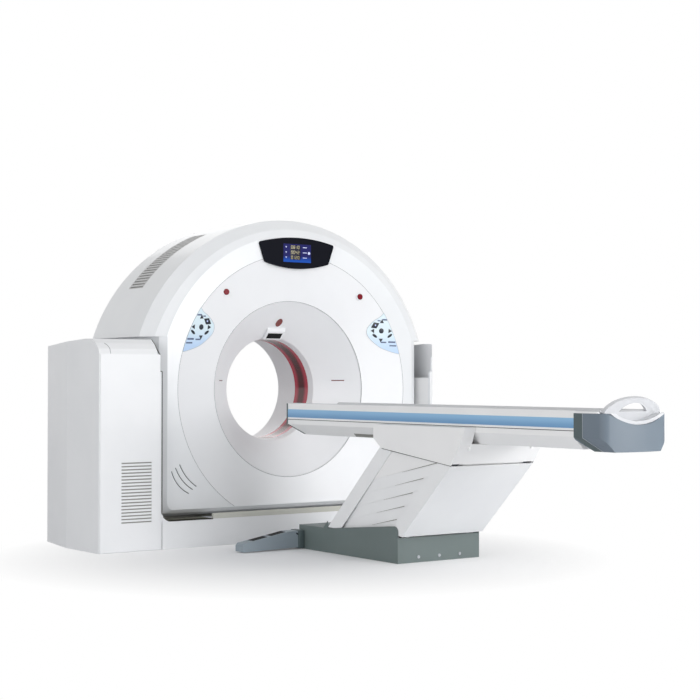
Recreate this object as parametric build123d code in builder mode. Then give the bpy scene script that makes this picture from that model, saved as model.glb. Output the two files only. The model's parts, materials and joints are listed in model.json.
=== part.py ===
"""Hospital CT scanner: tilting ring gantry between two towers, with a swing-arm patient couch.

Frame: +Z up from the floor, +Y along the bore from the couch towards the gantry, +X to the
right seen from the couch.  The origin is on the floor under the isocentre, and Y = 0 is the
scan plane.  All sizes are in millimetres.
"""

from build123d import *
import os
from math import cos, radians, sin, sqrt, tan

os.makedirs("parts", exist_ok=True)

# Bore and scan plane
ISO_Z = 948
BORE_R = 325
WINDOW_HALF = 80
WINDOW_THICK = 4
RIM_Y = -129
RIM_R = 335
FUNNEL_Y = -362
FUNNEL_R = 557
DISC_IN_Y = -364.5
DISC_IN_R = 561.5
DISC_OUT_Y = -432
DISC_OUT_R = 854
COVER_WALL = 5
REAR_R = 358
REAR_Y = 341

# Tilting housing outline
HOOD_CENTRE_Z = 900
HOOD_R = 1130
HOOD_EDGE_Z = 1268
CREASE_Y = -332
REAR_EDGE_Y = 300
COVER_HALF = 1000
COVER_BOTTOM_Z = 178
COVER_CORNER_R = 45
FACE_Y = -405
FACE_R = HOOD_R - 68
FACE_CENTRE_Z = 905
FACE_HALF = COVER_HALF - 32
FACE_BOTTOM_Z = COVER_BOTTOM_Z + 22
FRONT_R = HOOD_R - 145
FRONT_CENTRE_Z = 940
FRONT_HALF = COVER_HALF - 75
FRONT_BOTTOM_Z = COVER_BOTTOM_Z + 44
BACK_R = HOOD_R - 36
BACK_HALF = COVER_HALF - 34
BACK_BOTTOM_Z = COVER_BOTTOM_Z + 34
SEAM_R = DISC_OUT_R + 1

# Tilt frame and trunnions
TRUNNION_R = 60
TRUNNION_END = 1196
DRIVE_TRUNNION_END = 1300
BEARING_CLEARANCE = 0.05
POST_IN = 1100
POST_OUT = 1200
POST_HALF_Y = 140
FRAME_Y = 228
FRAME_BACK_Y = 262
FRAME_R = 712

# Rotor
DRUM_R = 690
DRUM_BORE_R = 362
DRUM_Y = 110
DRUM_BACK_Y = 150
RACE_R = 520
RACE_GAP = 0.4
BELT_GAP = 0.4
BELT_THICK = 4
PULLEY_R = 55
PULLEY_X = -600
PULLEY_Z = 388
MOTOR_SHAFT_R = 15

# Towers and plinth
TOWER_FRONT_Y = -526
PANEL_THICK = 6
TOWER_BACK_Y = 289
TOWER_WALL = 4
TOWER_IN = 1085
LIP_IN = 1009
LIP_BACK_Y = -508
LIP_TRIM_X = 1023
LIP_TRIM_Z = 1060
CORNER_IN = 1038
SHOULDER_Z = 1159
LEFT_FRONT_X = -1419
LEFT_BEND_X = -1438
LEFT_BACK_X = -1378
BEND_Y = -121
RIGHT_NOSE_X = 1030
SLIT_COUNT = 19
SLIT_PITCH = 19.3
SLIT_TOP_Z = 523
SLIT_HEIGHT = 8
PLINTH_TOP_Z = 165
PLINTH_BACK_Y = -345
FLOOR_PLATE_TOP_Z = 60
FLOOR_PLATE_HALF = 1205
FOOT_HEIGHT = 20

# Couch
LIFT_ANGLE = 43.5
ARM_LENGTH = 580
FRONT_PIVOT = (-1373, 240)
REAR_PIVOT = (-1905, 190)
TABLE_BOTTOM_Z = round(FRONT_PIVOT[1] + ARM_LENGTH * sin(radians(LIFT_ANGLE)) + 33.75)
TABLE_TOP_Z = TABLE_BOTTOM_Z + 192
TABLE_CHAMFER_Z = TABLE_BOTTOM_Z + 62
STRIP_LOW_Z = TABLE_BOTTOM_Z + 104
STRIP_HIGH_Z = TABLE_BOTTOM_Z + 153
TABLE_HALF = 210
TABLE_END_Y = -650
CAP_JOINT_Y = -3202
CAP_END_Y = -3440
CHANNEL_R = 340.2
CHANNEL_CENTRE_Z = TABLE_TOP_Z + 270.2
SLIDE_GAP = 0.8
CRADLE_THICK = 16
CRADLE_HALF = 198.5
SADDLE_HALF = 289.5
COVER_SHEET = 4
PIN_R = 15
ARM_IN = 228
ARM_OUT = 252
BAND_IN = 281
BAND_OUT = 285
BAND_HALF = 45
SKIRT_FRONT_Y = -912
SKIRT_BACK_Y = -1894
SKIRT_TOP_Z = 141
SHUTTER_SLOPE = 12.2
SHUTTER_PITCH = 116.2
SHUTTER_HEIGHT = 100
SHUTTER_THICK = 2.5
SHUTTER_STEP = 3
SHUTTER_FRONT_SIDE = -26
SHUTTER_REAR_SIDE = 32
GROOVE_START = 119
FIRST_SHUTTER_IN = 268.5

BORE_AXIS = Axis((0, 0, ISO_Z), (0, 1, 0))
HOOD_AXIS = Axis((0, 0, HOOD_CENTRE_Z), (0, 1, 0))


def keep(builder, name):
    """Label a finished node and write its STEP file."""
    builder.part.label = name
    export_step(builder.part, f"parts/{name}.step")


def face_on(plane, points):
    """Closed polygon face on a plane."""
    with BuildSketch(plane) as sketch:
        Polygon(*points, align=None)
    return sketch.sketch


def prism_x(points, low, high, mode=Mode.ADD):
    """Polygon of (y, z) points carried along X."""
    return extrude(face_on(Plane.YZ.offset(low), points), amount=high - low, mode=mode)


def prism_y(points, low, high, mode=Mode.ADD):
    """Polygon of (x, z) points carried along Y."""
    return extrude(face_on(Plane.XZ.offset(-low), points), amount=low - high, mode=mode)


def prism_z(points, low, high, mode=Mode.ADD):
    """Polygon of (x, y) points carried along Z."""
    return extrude(face_on(Plane.XY.offset(low), points), amount=high - low, mode=mode)


def block(x0, x1, y0, y1, z0, z1, mode=Mode.ADD):
    """Box between two corners."""
    return prism_z([(x0, y0), (x1, y0), (x1, y1), (x0, y1)], z0, z1, mode)


def rod(plane, centre, radius, length, mode=Mode.ADD):
    """Cylinder that starts on a plane and follows its normal."""
    with BuildSketch(plane) as sketch:
        with Locations(centre):
            Circle(radius)
    return extrude(sketch.sketch, amount=length, mode=mode)


def rod_x(y, z, radius, low, high, mode=Mode.ADD):
    return rod(Plane.YZ.offset(low), (y, z), radius, high - low, mode)


def rod_y(x, z, radius, low, high, mode=Mode.ADD):
    return rod(Plane.XZ.offset(-low), (x, z), radius, low - high, mode)


def rod_z(x, y, radius, low, high, mode=Mode.ADD):
    return rod(Plane.XY.offset(low), (x, y), radius, high - low, mode)


def turned(points, mode=Mode.ADD):
    """Ring round the bore axis from (y, radius) points."""
    face = face_on(Plane.YZ, [(y, ISO_Z + r) for y, r in points])
    return revolve(face, axis=BORE_AXIS, mode=mode)


def sector(points, centre_z, start, sweep, mode=Mode.ADD):
    """Part of a ring: (y, radius) points swept from the start angle (degrees from +X towards
    +Z) down by the sweep angle."""
    a = radians(start)
    plane = Plane(origin=(0, 0, centre_z), x_dir=(0, 1, 0), z_dir=(sin(a), 0, -cos(a)))
    axis = Axis((0, 0, centre_z), (0, 1, 0))
    return revolve(face_on(plane, points), axis=axis, revolution_arc=sweep, mode=mode)


def housing_face(y, centre_z, radius, half, bottom, edge_z=HOOD_EDGE_Z, corner=COVER_CORNER_R):
    """Outline of the tilting housing on the plane at y."""
    reach = sqrt(radius ** 2 - (edge_z - centre_z) ** 2)
    with BuildSketch(Plane.XZ.offset(-y)) as sketch:
        with BuildLine():
            Line((-half, bottom + corner), (-half, edge_z))
            Line((-half, edge_z), (-reach, edge_z))
            ThreePointArc((-reach, edge_z), (0, centre_z + radius), (reach, edge_z))
            Line((reach, edge_z), (half, edge_z))
            Line((half, edge_z), (half, bottom + corner))
            RadiusArc((half, bottom + corner), (half - corner, bottom), corner)
            Line((half - corner, bottom), (-half + corner, bottom))
            RadiusArc((-half + corner, bottom), (-half, bottom + corner), corner)
        make_face()
    return sketch.sketch


def along(start, angle, distance, side=0):
    """Point at a distance up a couch arm, and a distance to its gantry side."""
    a = radians(angle)
    return (start[0] - distance * cos(a) + side * sin(a), start[1] + distance * sin(a) + side * cos(a))


def disc_y(radius):
    """Front surface of the disc at a radius."""
    return DISC_IN_Y + (DISC_OUT_Y - DISC_IN_Y) * (radius - DISC_IN_R) / (DISC_OUT_R - DISC_IN_R)


def funnel_y(radius):
    """Front surface of the funnel at a radius."""
    return RIM_Y + (FUNNEL_Y - RIM_Y) * (radius - RIM_R) / (FUNNEL_R - RIM_R)


# Tilting covers

with BuildPart() as scan_window:
    turned([(-WINDOW_HALF, BORE_R), (WINDOW_HALF, BORE_R), (WINDOW_HALF, BORE_R + WINDOW_THICK),
            (-WINDOW_HALF, BORE_R + WINDOW_THICK)])
keep(scan_window, "scan_window")

BUTTON_X = 508
BUTTON_Z = 1552
BUTTON_R = 19
BUTTON_GAP = 0.5
BUTTON_TRAVEL = 4
SEAT_R = 26
SEAT_BACK_Y = -396
SEAT_FRONT_Y = -420

LASER_IN_X = 418
LASER_OUT_X = 478
LASER_Z = ISO_Z + 54
LASER_HALF_HEIGHT = 3
LAMP_R = 430
LAMP_HALF_WIDTH = 22
LAMP_HALF_LENGTH = 34

lamp_tilt = (RIM_Y - FUNNEL_Y) / (FUNNEL_R - RIM_R)
lamp_normal = (0, -1 / sqrt(1 + lamp_tilt ** 2), -lamp_tilt / sqrt(1 + lamp_tilt ** 2))
lamp_plane = Plane(origin=(0, funnel_y(LAMP_R), ISO_Z + LAMP_R), x_dir=(1, 0, 0), z_dir=lamp_normal)
with BuildSketch(lamp_plane.offset(-8)) as lamp_face:
    Ellipse(LAMP_HALF_WIDTH, LAMP_HALF_LENGTH)

with BuildPart() as front_funnel:
    turned([(-WINDOW_HALF, BORE_R), (RIM_Y, RIM_R), (FUNNEL_Y, FUNNEL_R), (-359.3, 562.7), (-362.6, 577),
            (-358, 577), (-354.5, 561), (-124.5, 341), (-WINDOW_HALF, BORE_R + 6)])
    for side in (-1, 1):
        low, high = sorted((side * LASER_IN_X, side * LASER_OUT_X))
        prism_y([(low, LASER_Z - LASER_HALF_HEIGHT), (high, LASER_Z - LASER_HALF_HEIGHT),
                 (high, LASER_Z + LASER_HALF_HEIGHT), (low, LASER_Z + LASER_HALF_HEIGHT)],
                -340, -180, Mode.SUBTRACT)
    extrude(lamp_face.sketch, amount=16, mode=Mode.SUBTRACT)
keep(front_funnel, "front_funnel")

for side, name in ((-1, "laser_window_left"), (1, "laser_window_right")):
    with BuildPart() as laser_window:
        low, high = sorted((side * LASER_IN_X, side * LASER_OUT_X))
        turned([(funnel_y(380) - 1, 380), (funnel_y(520) - 1, 520), (funnel_y(520) + 3, 520),
                (funnel_y(380) + 3, 380)])
        prism_y([(low, LASER_Z - LASER_HALF_HEIGHT), (high, LASER_Z - LASER_HALF_HEIGHT),
                 (high, LASER_Z + LASER_HALF_HEIGHT), (low, LASER_Z + LASER_HALF_HEIGHT)],
                -340, -180, Mode.INTERSECT)
    keep(laser_window, name)

with BuildPart() as indicator_lamp:
    extrude(lamp_face.sketch, amount=12)
keep(indicator_lamp, "indicator_lamp")

with BuildPart() as cover_core:
    loft([housing_face(CREASE_Y, HOOD_CENTRE_Z, HOOD_R - COVER_WALL, COVER_HALF - COVER_WALL,
                       COVER_BOTTOM_Z + COVER_WALL, HOOD_EDGE_Z + COVER_WALL),
          housing_face(FACE_Y + COVER_WALL, FACE_CENTRE_Z, FACE_R - COVER_WALL, FACE_HALF - COVER_WALL,
                       FACE_BOTTOM_Z + COVER_WALL, HOOD_EDGE_Z + COVER_WALL),
          housing_face(DISC_OUT_Y + COVER_WALL, FRONT_CENTRE_Z, FRONT_R - COVER_WALL,
                       FRONT_HALF - COVER_WALL, FRONT_BOTTOM_Z + COVER_WALL, HOOD_EDGE_Z + COVER_WALL)],
         ruled=True)

with BuildPart() as disc_limit:
    loft([housing_face(CREASE_Y, HOOD_CENTRE_Z, HOOD_R - COVER_WALL, COVER_HALF - COVER_WALL,
                       COVER_BOTTOM_Z + COVER_WALL, HOOD_EDGE_Z + COVER_WALL),
          housing_face(FACE_Y, FACE_CENTRE_Z, FACE_R - COVER_WALL, FACE_HALF - COVER_WALL,
                       FACE_BOTTOM_Z + COVER_WALL, HOOD_EDGE_Z + COVER_WALL),
          housing_face(DISC_OUT_Y, FRONT_CENTRE_Z, FRONT_R - COVER_WALL, FRONT_HALF - COVER_WALL,
                       FRONT_BOTTOM_Z + COVER_WALL, HOOD_EDGE_Z + COVER_WALL)], ruled=True)

with BuildPart() as front_disc:
    turned([(DISC_IN_Y, DISC_IN_R), (DISC_OUT_Y, DISC_OUT_R), (DISC_OUT_Y + 5, DISC_OUT_R), (-359.5, 562.5)])
    add(disc_limit.part, mode=Mode.INTERSECT)
    for side in (-1, 1):
        rod_y(side * BUTTON_X, BUTTON_Z, SEAT_R, SEAT_FRONT_Y, SEAT_BACK_Y)
        rod_y(side * BUTTON_X, BUTTON_Z, BUTTON_R + BUTTON_GAP, SEAT_FRONT_Y - 20, SEAT_BACK_Y, Mode.SUBTRACT)
keep(front_disc, "front_disc")

for side, name in ((-1, "red_button_left"), (1, "red_button_right")):
    with BuildPart() as red_button:
        rod_y(side * BUTTON_X, BUTTON_Z, BUTTON_R, SEAT_FRONT_Y - 8, SEAT_BACK_Y - 6)
        fillet(red_button.edges().sort_by(Axis.Y)[0], 4)
    keep(red_button, name)

PANEL_PLATE = 2
for side, name in ((-1, "control_panel_left"), (1, "control_panel_right")):
    with BuildPart() as control_panel:
        turned([(disc_y(575), 575), (disc_y(851), 851), (disc_y(851) - PANEL_PLATE, 851),
                (disc_y(575) - PANEL_PLATE, 575)])
        with BuildSketch(Plane.XZ.offset(300)) as outline:
            with BuildLine():
                ThreePointArc((side * 694, 1450), (side * 776, 1304), (side * 820, 1178))
                ThreePointArc((side * 820, 1178), (side * 580, 1344), (side * 694, 1450))
            make_face()
        extrude(amount=200, mode=Mode.INTERSECT)
    keep(control_panel, name)

with BuildPart() as seam_cut:
    turned([(-440, 0), (-440, SEAM_R), (-420, SEAM_R), (-420, 0)])
    add(disc_limit.part, mode=Mode.INTERSECT)

with BuildPart() as seam_flange:
    turned([(-426.8, 854), (-423.6, 840), (-419, 840), (-419, 862), (-427, 862), (-427, SEAM_R)])
    add(cover_core.part, mode=Mode.INTERSECT)

GROOVE_WIDTH = 7
GROOVE_DEPTH = 3
CORNER_GROOVES = (((-895, 455), (-858, 382), (-777, 317)), ((-868, 476), (-826, 404), (-749, 340)),
                  ((-840, 495), (-799, 426), (-724, 358)))

with BuildPart() as front_cover:
    loft([housing_face(CREASE_Y, HOOD_CENTRE_Z, HOOD_R, COVER_HALF, COVER_BOTTOM_Z),
          housing_face(FACE_Y, FACE_CENTRE_Z, FACE_R, FACE_HALF, FACE_BOTTOM_Z),
          housing_face(DISC_OUT_Y, FRONT_CENTRE_Z, FRONT_R, FRONT_HALF, FRONT_BOTTOM_Z)], ruled=True)
    add(cover_core.part, mode=Mode.SUBTRACT)
    add(seam_cut.part, mode=Mode.SUBTRACT)
    add(seam_flange.part)
    add(front_disc.part, mode=Mode.SUBTRACT)
    for groove in CORNER_GROOVES:
        with BuildSketch(Plane.XZ.offset(-DISC_OUT_Y)) as mark:
            with BuildLine():
                ThreePointArc(*groove)
            trace(line_width=GROOVE_WIDTH)
        extrude(mark.sketch, amount=-GROOVE_DEPTH, mode=Mode.SUBTRACT)
keep(front_cover, "front_cover")

VENT_START = 143
VENT_SWEEP = 30
VENT_FRONT_Y = -62
VENT_BACK_Y = 130
VENT_SLOTS = 24
VENT_OPEN = 0.4

with BuildPart() as rear_core:
    loft([housing_face(CREASE_Y - 1, HOOD_CENTRE_Z, HOOD_R - COVER_WALL, COVER_HALF - COVER_WALL,
                       COVER_BOTTOM_Z + COVER_WALL, HOOD_EDGE_Z + COVER_WALL),
          housing_face(REAR_EDGE_Y, HOOD_CENTRE_Z, HOOD_R - COVER_WALL, COVER_HALF - COVER_WALL,
                       COVER_BOTTOM_Z + COVER_WALL, HOOD_EDGE_Z + COVER_WALL),
          housing_face(REAR_Y - COVER_WALL, HOOD_CENTRE_Z, BACK_R - COVER_WALL, BACK_HALF - COVER_WALL,
                       BACK_BOTTOM_Z + COVER_WALL, HOOD_EDGE_Z + COVER_WALL)], ruled=True)

with BuildPart() as rear_cover:
    loft([housing_face(CREASE_Y, HOOD_CENTRE_Z, HOOD_R, COVER_HALF, COVER_BOTTOM_Z),
          housing_face(REAR_EDGE_Y, HOOD_CENTRE_Z, HOOD_R, COVER_HALF, COVER_BOTTOM_Z),
          housing_face(REAR_Y, HOOD_CENTRE_Z, BACK_R, BACK_HALF, BACK_BOTTOM_Z)], ruled=True)
    add(rear_core.part, mode=Mode.SUBTRACT)
    turned([(REAR_Y - 20, 0), (REAR_Y - 20, REAR_R + 5), (REAR_Y + 10, REAR_R + 5), (REAR_Y + 10, 0)],
           Mode.SUBTRACT)
    rod_x(0, ISO_Z, TRUNNION_R + 25, -COVER_HALF - 20, COVER_HALF + 20, Mode.SUBTRACT)
    for start in (VENT_START, 180 - VENT_START + VENT_SWEEP):
        sector([(VENT_FRONT_Y, HOOD_R - 20), (VENT_FRONT_Y, HOOD_R + 20), (VENT_BACK_Y, HOOD_R + 20),
                (VENT_BACK_Y, HOOD_R - 20)], HOOD_CENTRE_Z, start, VENT_SWEEP, Mode.SUBTRACT)
keep(rear_cover, "rear_cover")

slot_pitch = VENT_SWEEP / VENT_SLOTS
for start, name in ((VENT_START, "vent_grille_left"), (180 - VENT_START + VENT_SWEEP, "vent_grille_right")):
    with BuildPart() as vent_grille:
        sector([(VENT_FRONT_Y, HOOD_R - COVER_WALL), (VENT_FRONT_Y, HOOD_R), (VENT_BACK_Y, HOOD_R),
                (VENT_BACK_Y, HOOD_R - COVER_WALL)], HOOD_CENTRE_Z, start, VENT_SWEEP)
        for slot in range(VENT_SLOTS):
            sector([(VENT_FRONT_Y + 10, HOOD_R - 20), (VENT_FRONT_Y + 10, HOOD_R + 20),
                    (VENT_BACK_Y - 10, HOOD_R + 20), (VENT_BACK_Y - 10, HOOD_R - 20)], HOOD_CENTRE_Z,
                   start - slot_pitch * (slot + (1 - VENT_OPEN) / 2), slot_pitch * VENT_OPEN, Mode.SUBTRACT)
    keep(vent_grille, name)

with BuildPart() as rear_funnel:
    turned([(WINDOW_HALF, BORE_R), (REAR_Y, REAR_R), (REAR_Y + 4, REAR_R + 3), (REAR_Y + 4, REAR_R + 22),
            (REAR_Y, REAR_R + 22), (REAR_Y, REAR_R + 5), (WINDOW_HALF, BORE_R + 5)])
keep(rear_funnel, "rear_funnel")

BEZEL_THICK = 14
SCREEN_HALF = 105
SCREEN_LOW_Z = 1755
SCREEN_HIGH_Z = 1871
SCREEN_DEPTH = 4
with BuildPart() as display_bezel:
    with BuildSketch(Plane.XZ.offset(-DISC_OUT_Y)) as outline:
        with BuildLine():
            ThreePointArc((-284, 1874), (0, 1912), (284, 1874))
            Line((284, 1874), (240, 1750))
            ThreePointArc((240, 1750), (0, 1714), (-240, 1750))
            Line((-240, 1750), (-284, 1874))
        make_face()
    extrude(amount=BEZEL_THICK)
    fillet(display_bezel.edges().filter_by(Axis.Y), 14)
    block(-SCREEN_HALF, SCREEN_HALF, DISC_OUT_Y - BEZEL_THICK, DISC_OUT_Y - BEZEL_THICK + SCREEN_DEPTH,
          SCREEN_LOW_Z, SCREEN_HIGH_Z, Mode.SUBTRACT)
keep(display_bezel, "display_bezel")

with BuildPart() as display_screen:
    block(-SCREEN_HALF, SCREEN_HALF, DISC_OUT_Y - BEZEL_THICK + 1, DISC_OUT_Y - BEZEL_THICK + SCREEN_DEPTH,
          SCREEN_LOW_Z, SCREEN_HIGH_Z)
keep(display_screen, "display_screen")

SENSOR_HALF = 68
with BuildPart() as sensor_housing:
    prism_x([(-131, ISO_Z + 338), (-131, ISO_Z + 333), (-142, ISO_Z + 320), (-150, ISO_Z + 322), (-196, ISO_Z + 369),
             (-201, ISO_Z + 392), (-190, ISO_Z + 402)], -SENSOR_HALF, SENSOR_HALF)
    turned([(RIM_Y, RIM_R), (FUNNEL_Y, FUNNEL_R), (0, FUNNEL_R), (0, RIM_R)], Mode.SUBTRACT)
    prism_x([(-155.1, ISO_Z + 327.2), (-187.1, ISO_Z + 359.9), (-185, ISO_Z + 362), (-153, ISO_Z + 329.3)],
            -55, 55, Mode.SUBTRACT)
keep(sensor_housing, "sensor_housing")

with BuildPart() as sensor_window:
    prism_x([(-155.1, ISO_Z + 327.2), (-187.1, ISO_Z + 359.9), (-185, ISO_Z + 362), (-153, ISO_Z + 329.3)],
            -55, 55)
    add(sensor_housing.part, mode=Mode.SUBTRACT)
keep(sensor_window, "sensor_window")

# Tilt frame, motor and belt

with BuildPart() as tilt_frame:
    turned([(FRAME_Y, 400), (FRAME_Y, FRAME_R), (FRAME_BACK_Y, FRAME_R), (FRAME_BACK_Y, 400)])
    turned([(194, RACE_R), (FRAME_Y, RACE_R), (FRAME_Y, RACE_R + 40), (194, RACE_R + 40)])
    for side in (-1, 1):
        low, high = sorted((side * 640, side * (COVER_HALF - COVER_WALL)))
        block(low, high, FRAME_Y, FRAME_BACK_Y, ISO_Z - 120, ISO_Z + 120)
        low, high = sorted((side * 735, side * (COVER_HALF - COVER_WALL)))
        block(low, high, -70, FRAME_Y, ISO_Z - 100, ISO_Z + 100)
    rod_x(0, ISO_Z, TRUNNION_R, -DRIVE_TRUNNION_END, -COVER_HALF + COVER_WALL)
    rod_x(0, ISO_Z, TRUNNION_R, COVER_HALF - COVER_WALL, TRUNNION_END)
    block(-720, -500, FRAME_Y, FRAME_BACK_Y, PULLEY_Z - 90, PULLEY_Z + 140)
keep(tilt_frame, "tilt_frame")

with BuildPart() as drive_motor:
    rod_y(PULLEY_X, PULLEY_Z, 78, 156, FRAME_Y)
    rod_y(PULLEY_X, PULLEY_Z, MOTOR_SHAFT_R, 104, 156)
keep(drive_motor, "drive_motor")

with BuildPart() as drive_pulley:
    rod_y(PULLEY_X, PULLEY_Z, PULLEY_R, 112, 148)
    rod_y(PULLEY_X, PULLEY_Z, MOTOR_SHAFT_R + BEARING_CLEARANCE, 112, 148, Mode.SUBTRACT)
keep(drive_pulley, "drive_pulley")

with BuildPart() as drive_belt:
    for grow, mode in ((BELT_GAP + BELT_THICK, Mode.ADD), (BELT_GAP, Mode.SUBTRACT)):
        with BuildSketch(Plane.XZ.offset(-145)) as loop:
            with Locations((0, ISO_Z)):
                Circle(DRUM_R + grow)
            with Locations((PULLEY_X, PULLEY_Z)):
                Circle(PULLEY_R + grow)
            make_hull()
        extrude(loop.sketch, amount=30, mode=mode)
keep(drive_belt, "drive_belt")

# Rotor

with BuildPart() as rotor_drum:
    turned([(DRUM_Y, DRUM_BORE_R), (DRUM_Y, DRUM_R), (DRUM_BACK_Y, DRUM_R), (DRUM_BACK_Y, RACE_R - RACE_GAP),
            (222, RACE_R - RACE_GAP), (222, RACE_R - 42), (DRUM_BACK_Y, RACE_R - 42), (DRUM_BACK_Y, DRUM_BORE_R)])
keep(rotor_drum, "rotor_drum")

TUBE_R = 78
TUBE_OFFSET = 600
with BuildPart() as xray_tube:
    rod_y(0, ISO_Z + TUBE_OFFSET, TUBE_R, -118, DRUM_Y)
    block(-60, 60, -50, 50, ISO_Z + 500, ISO_Z + TUBE_OFFSET)
keep(xray_tube, "xray_tube")

with BuildPart() as collimator:
    block(-95, 95, -45, DRUM_Y, ISO_Z + 440, ISO_Z + 500)
keep(collimator, "collimator")

with BuildPart() as detector:
    sector([(-70, 560), (-70, 645), (DRUM_Y, 645), (DRUM_Y, 560)], ISO_Z, -62, 56)
keep(detector, "detector")

with BuildPart() as generator:
    block(-640, -430, -100, DRUM_Y, ISO_Z - 180, ISO_Z + 160)
keep(generator, "generator")

with BuildPart() as counterweight:
    block(440, 620, -60, DRUM_Y, ISO_Z - 180, ISO_Z + 140)
keep(counterweight, "counterweight")

with BuildPart() as slip_ring:
    turned([(DRUM_BACK_Y, 590), (DRUM_BACK_Y, 660), (DRUM_BACK_Y + 25, 660), (DRUM_BACK_Y + 25, 590)])
keep(slip_ring, "slip_ring")

# Base, posts and towers

with BuildPart() as base_floor_plate:
    block(-FLOOR_PLATE_HALF, FLOOR_PLATE_HALF, PLINTH_BACK_Y, 280, FOOT_HEIGHT, FLOOR_PLATE_TOP_Z)
    for x in (-1120, -560, 0, 560, 1120):
        for y in (-280, 220):
            rod_z(x, y, 45, 0, FOOT_HEIGHT)
    rod_z(0, 0, 45, 0, FOOT_HEIGHT)
    for x in (-1040, 1040):
        for y in (-220, 160):
            rod_z(x, y, 11, 0, FLOOR_PLATE_TOP_Z, Mode.SUBTRACT)
keep(base_floor_plate, "base_floor_plate")

for side, name in ((-1, "left_post"), (1, "right_post")):
    with BuildPart() as post:
        low, high = sorted((side * POST_IN, side * POST_OUT))
        prism_x([(-POST_HALF_Y, FLOOR_PLATE_TOP_Z), (POST_HALF_Y, FLOOR_PLATE_TOP_Z), (105, ISO_Z + 60),
                 (60, ISO_Z + 110), (-60, ISO_Z + 110), (-105, ISO_Z + 60)], low, high)
        rod_x(0, ISO_Z, TRUNNION_R + BEARING_CLEARANCE, low - 1, high + 1, Mode.SUBTRACT)
    keep(post, name)

with BuildPart() as tilt_gearmotor:
    block(-1330, -POST_OUT, -92, 92, ISO_Z - 92, ISO_Z + 92)
    rod_x(0, ISO_Z, TRUNNION_R + BEARING_CLEARANCE, -1305, -POST_OUT, Mode.SUBTRACT)
    rod_y(-1265, ISO_Z, 55, 92, 240)
keep(tilt_gearmotor, "tilt_gearmotor")

with BuildPart() as electronics_cabinet:
    block(-1384, -FLOOR_PLATE_HALF, -400, 180, 0, 820)
keep(electronics_cabinet, "electronics_cabinet")

with BuildPart() as front_plinth:
    block(-1004, 1004, TOWER_FRONT_Y + PANEL_THICK, PLINTH_BACK_Y, 0, PLINTH_TOP_Z)
    block(-1000, 1000, TOWER_FRONT_Y + PANEL_THICK + 4, PLINTH_BACK_Y - 4, -1, PLINTH_TOP_Z - 4, Mode.SUBTRACT)
keep(front_plinth, "front_plinth")

front_wall_y = TOWER_FRONT_Y + PANEL_THICK
tower_profile = [(front_wall_y, 0), (front_wall_y, SHOULDER_Z), (-508, 1190), (-478, 1222), (-440, 1248),
                 (-350, 1250), (TOWER_BACK_Y, 1216), (TOWER_BACK_Y, 0)]
tower_hollow = [(front_wall_y + 4, -1), (front_wall_y + 4, SHOULDER_Z - 2), (-504.5, 1187), (-475, 1218.5),
                (-438.5, 1244), (-350, 1246), (TOWER_BACK_Y - 4, 1212.2), (TOWER_BACK_Y - 4, -1)]
corner_skin = [(front_wall_y, SHOULDER_Z - 20)] + tower_profile[1:5] + tower_hollow[4:0:-1]
corner_skin.append((front_wall_y + 4, SHOULDER_Z - 20))

with BuildPart() as left_hollow:
    prism_x(tower_hollow, LEFT_BEND_X - 10, -TOWER_IN - TOWER_WALL)
    prism_z([(LEFT_FRONT_X + 4, front_wall_y + 4), (LEFT_BEND_X + 4, BEND_Y), (LEFT_BACK_X + 4, TOWER_BACK_Y),
             (-TOWER_IN, TOWER_BACK_Y), (-TOWER_IN, front_wall_y + 4)], -1, 1300, Mode.INTERSECT)

with BuildPart() as left_tower_cover:
    prism_x(tower_profile, LEFT_BEND_X - 10, -LIP_IN)
    prism_z([(LEFT_FRONT_X, front_wall_y), (LEFT_BEND_X, BEND_Y), (LEFT_BACK_X, TOWER_BACK_Y),
             (-TOWER_IN, TOWER_BACK_Y), (-TOWER_IN, LIP_BACK_Y), (-LIP_IN, LIP_BACK_Y), (-LIP_IN, front_wall_y)],
            0, 1300, Mode.INTERSECT)
    add(left_hollow.part, mode=Mode.SUBTRACT)
    block(-TOWER_IN, -LIP_IN + 1, -600, -400, SHOULDER_Z, 1300, Mode.SUBTRACT)
    block(-LIP_TRIM_X, -LIP_IN + 1, -600, -400, LIP_TRIM_Z, 1300, Mode.SUBTRACT)
    prism_x(corner_skin, -TOWER_IN - 2, -CORNER_IN)
    block(-FLOOR_PLATE_HALF - 1, -TOWER_IN + 5, PLINTH_BACK_Y - 1, TOWER_BACK_Y - 5, -1, FLOOR_PLATE_TOP_Z,
          Mode.SUBTRACT)
    rod_x(0, ISO_Z, TRUNNION_R + 15, -TOWER_IN - 10, -TOWER_IN + 10, Mode.SUBTRACT)
keep(left_tower_cover, "left_tower_cover")

with BuildPart() as left_front_panel:
    block(-1413, -1023, TOWER_FRONT_Y, front_wall_y, 4, SHOULDER_Z - 2)
    for slit in range(SLIT_COUNT):
        low = SLIT_TOP_Z - slit * SLIT_PITCH - SLIT_HEIGHT
        block(-1277, -1078, TOWER_FRONT_Y - 1, front_wall_y, low, low + SLIT_HEIGHT, Mode.SUBTRACT)
keep(left_front_panel, "left_front_panel")

right_profile = [(TOWER_FRONT_Y, 0), (TOWER_FRONT_Y, SHOULDER_Z)] + tower_profile[2:]
with BuildPart() as right_hollow:
    prism_x(tower_hollow, TOWER_IN + TOWER_WALL, 1230)
    prism_z([(TOWER_IN, -444), (1201, -290), (1212, BEND_Y), (1202, TOWER_BACK_Y), (TOWER_IN, TOWER_BACK_Y)],
            -1, 1300, Mode.INTERSECT)

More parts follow.
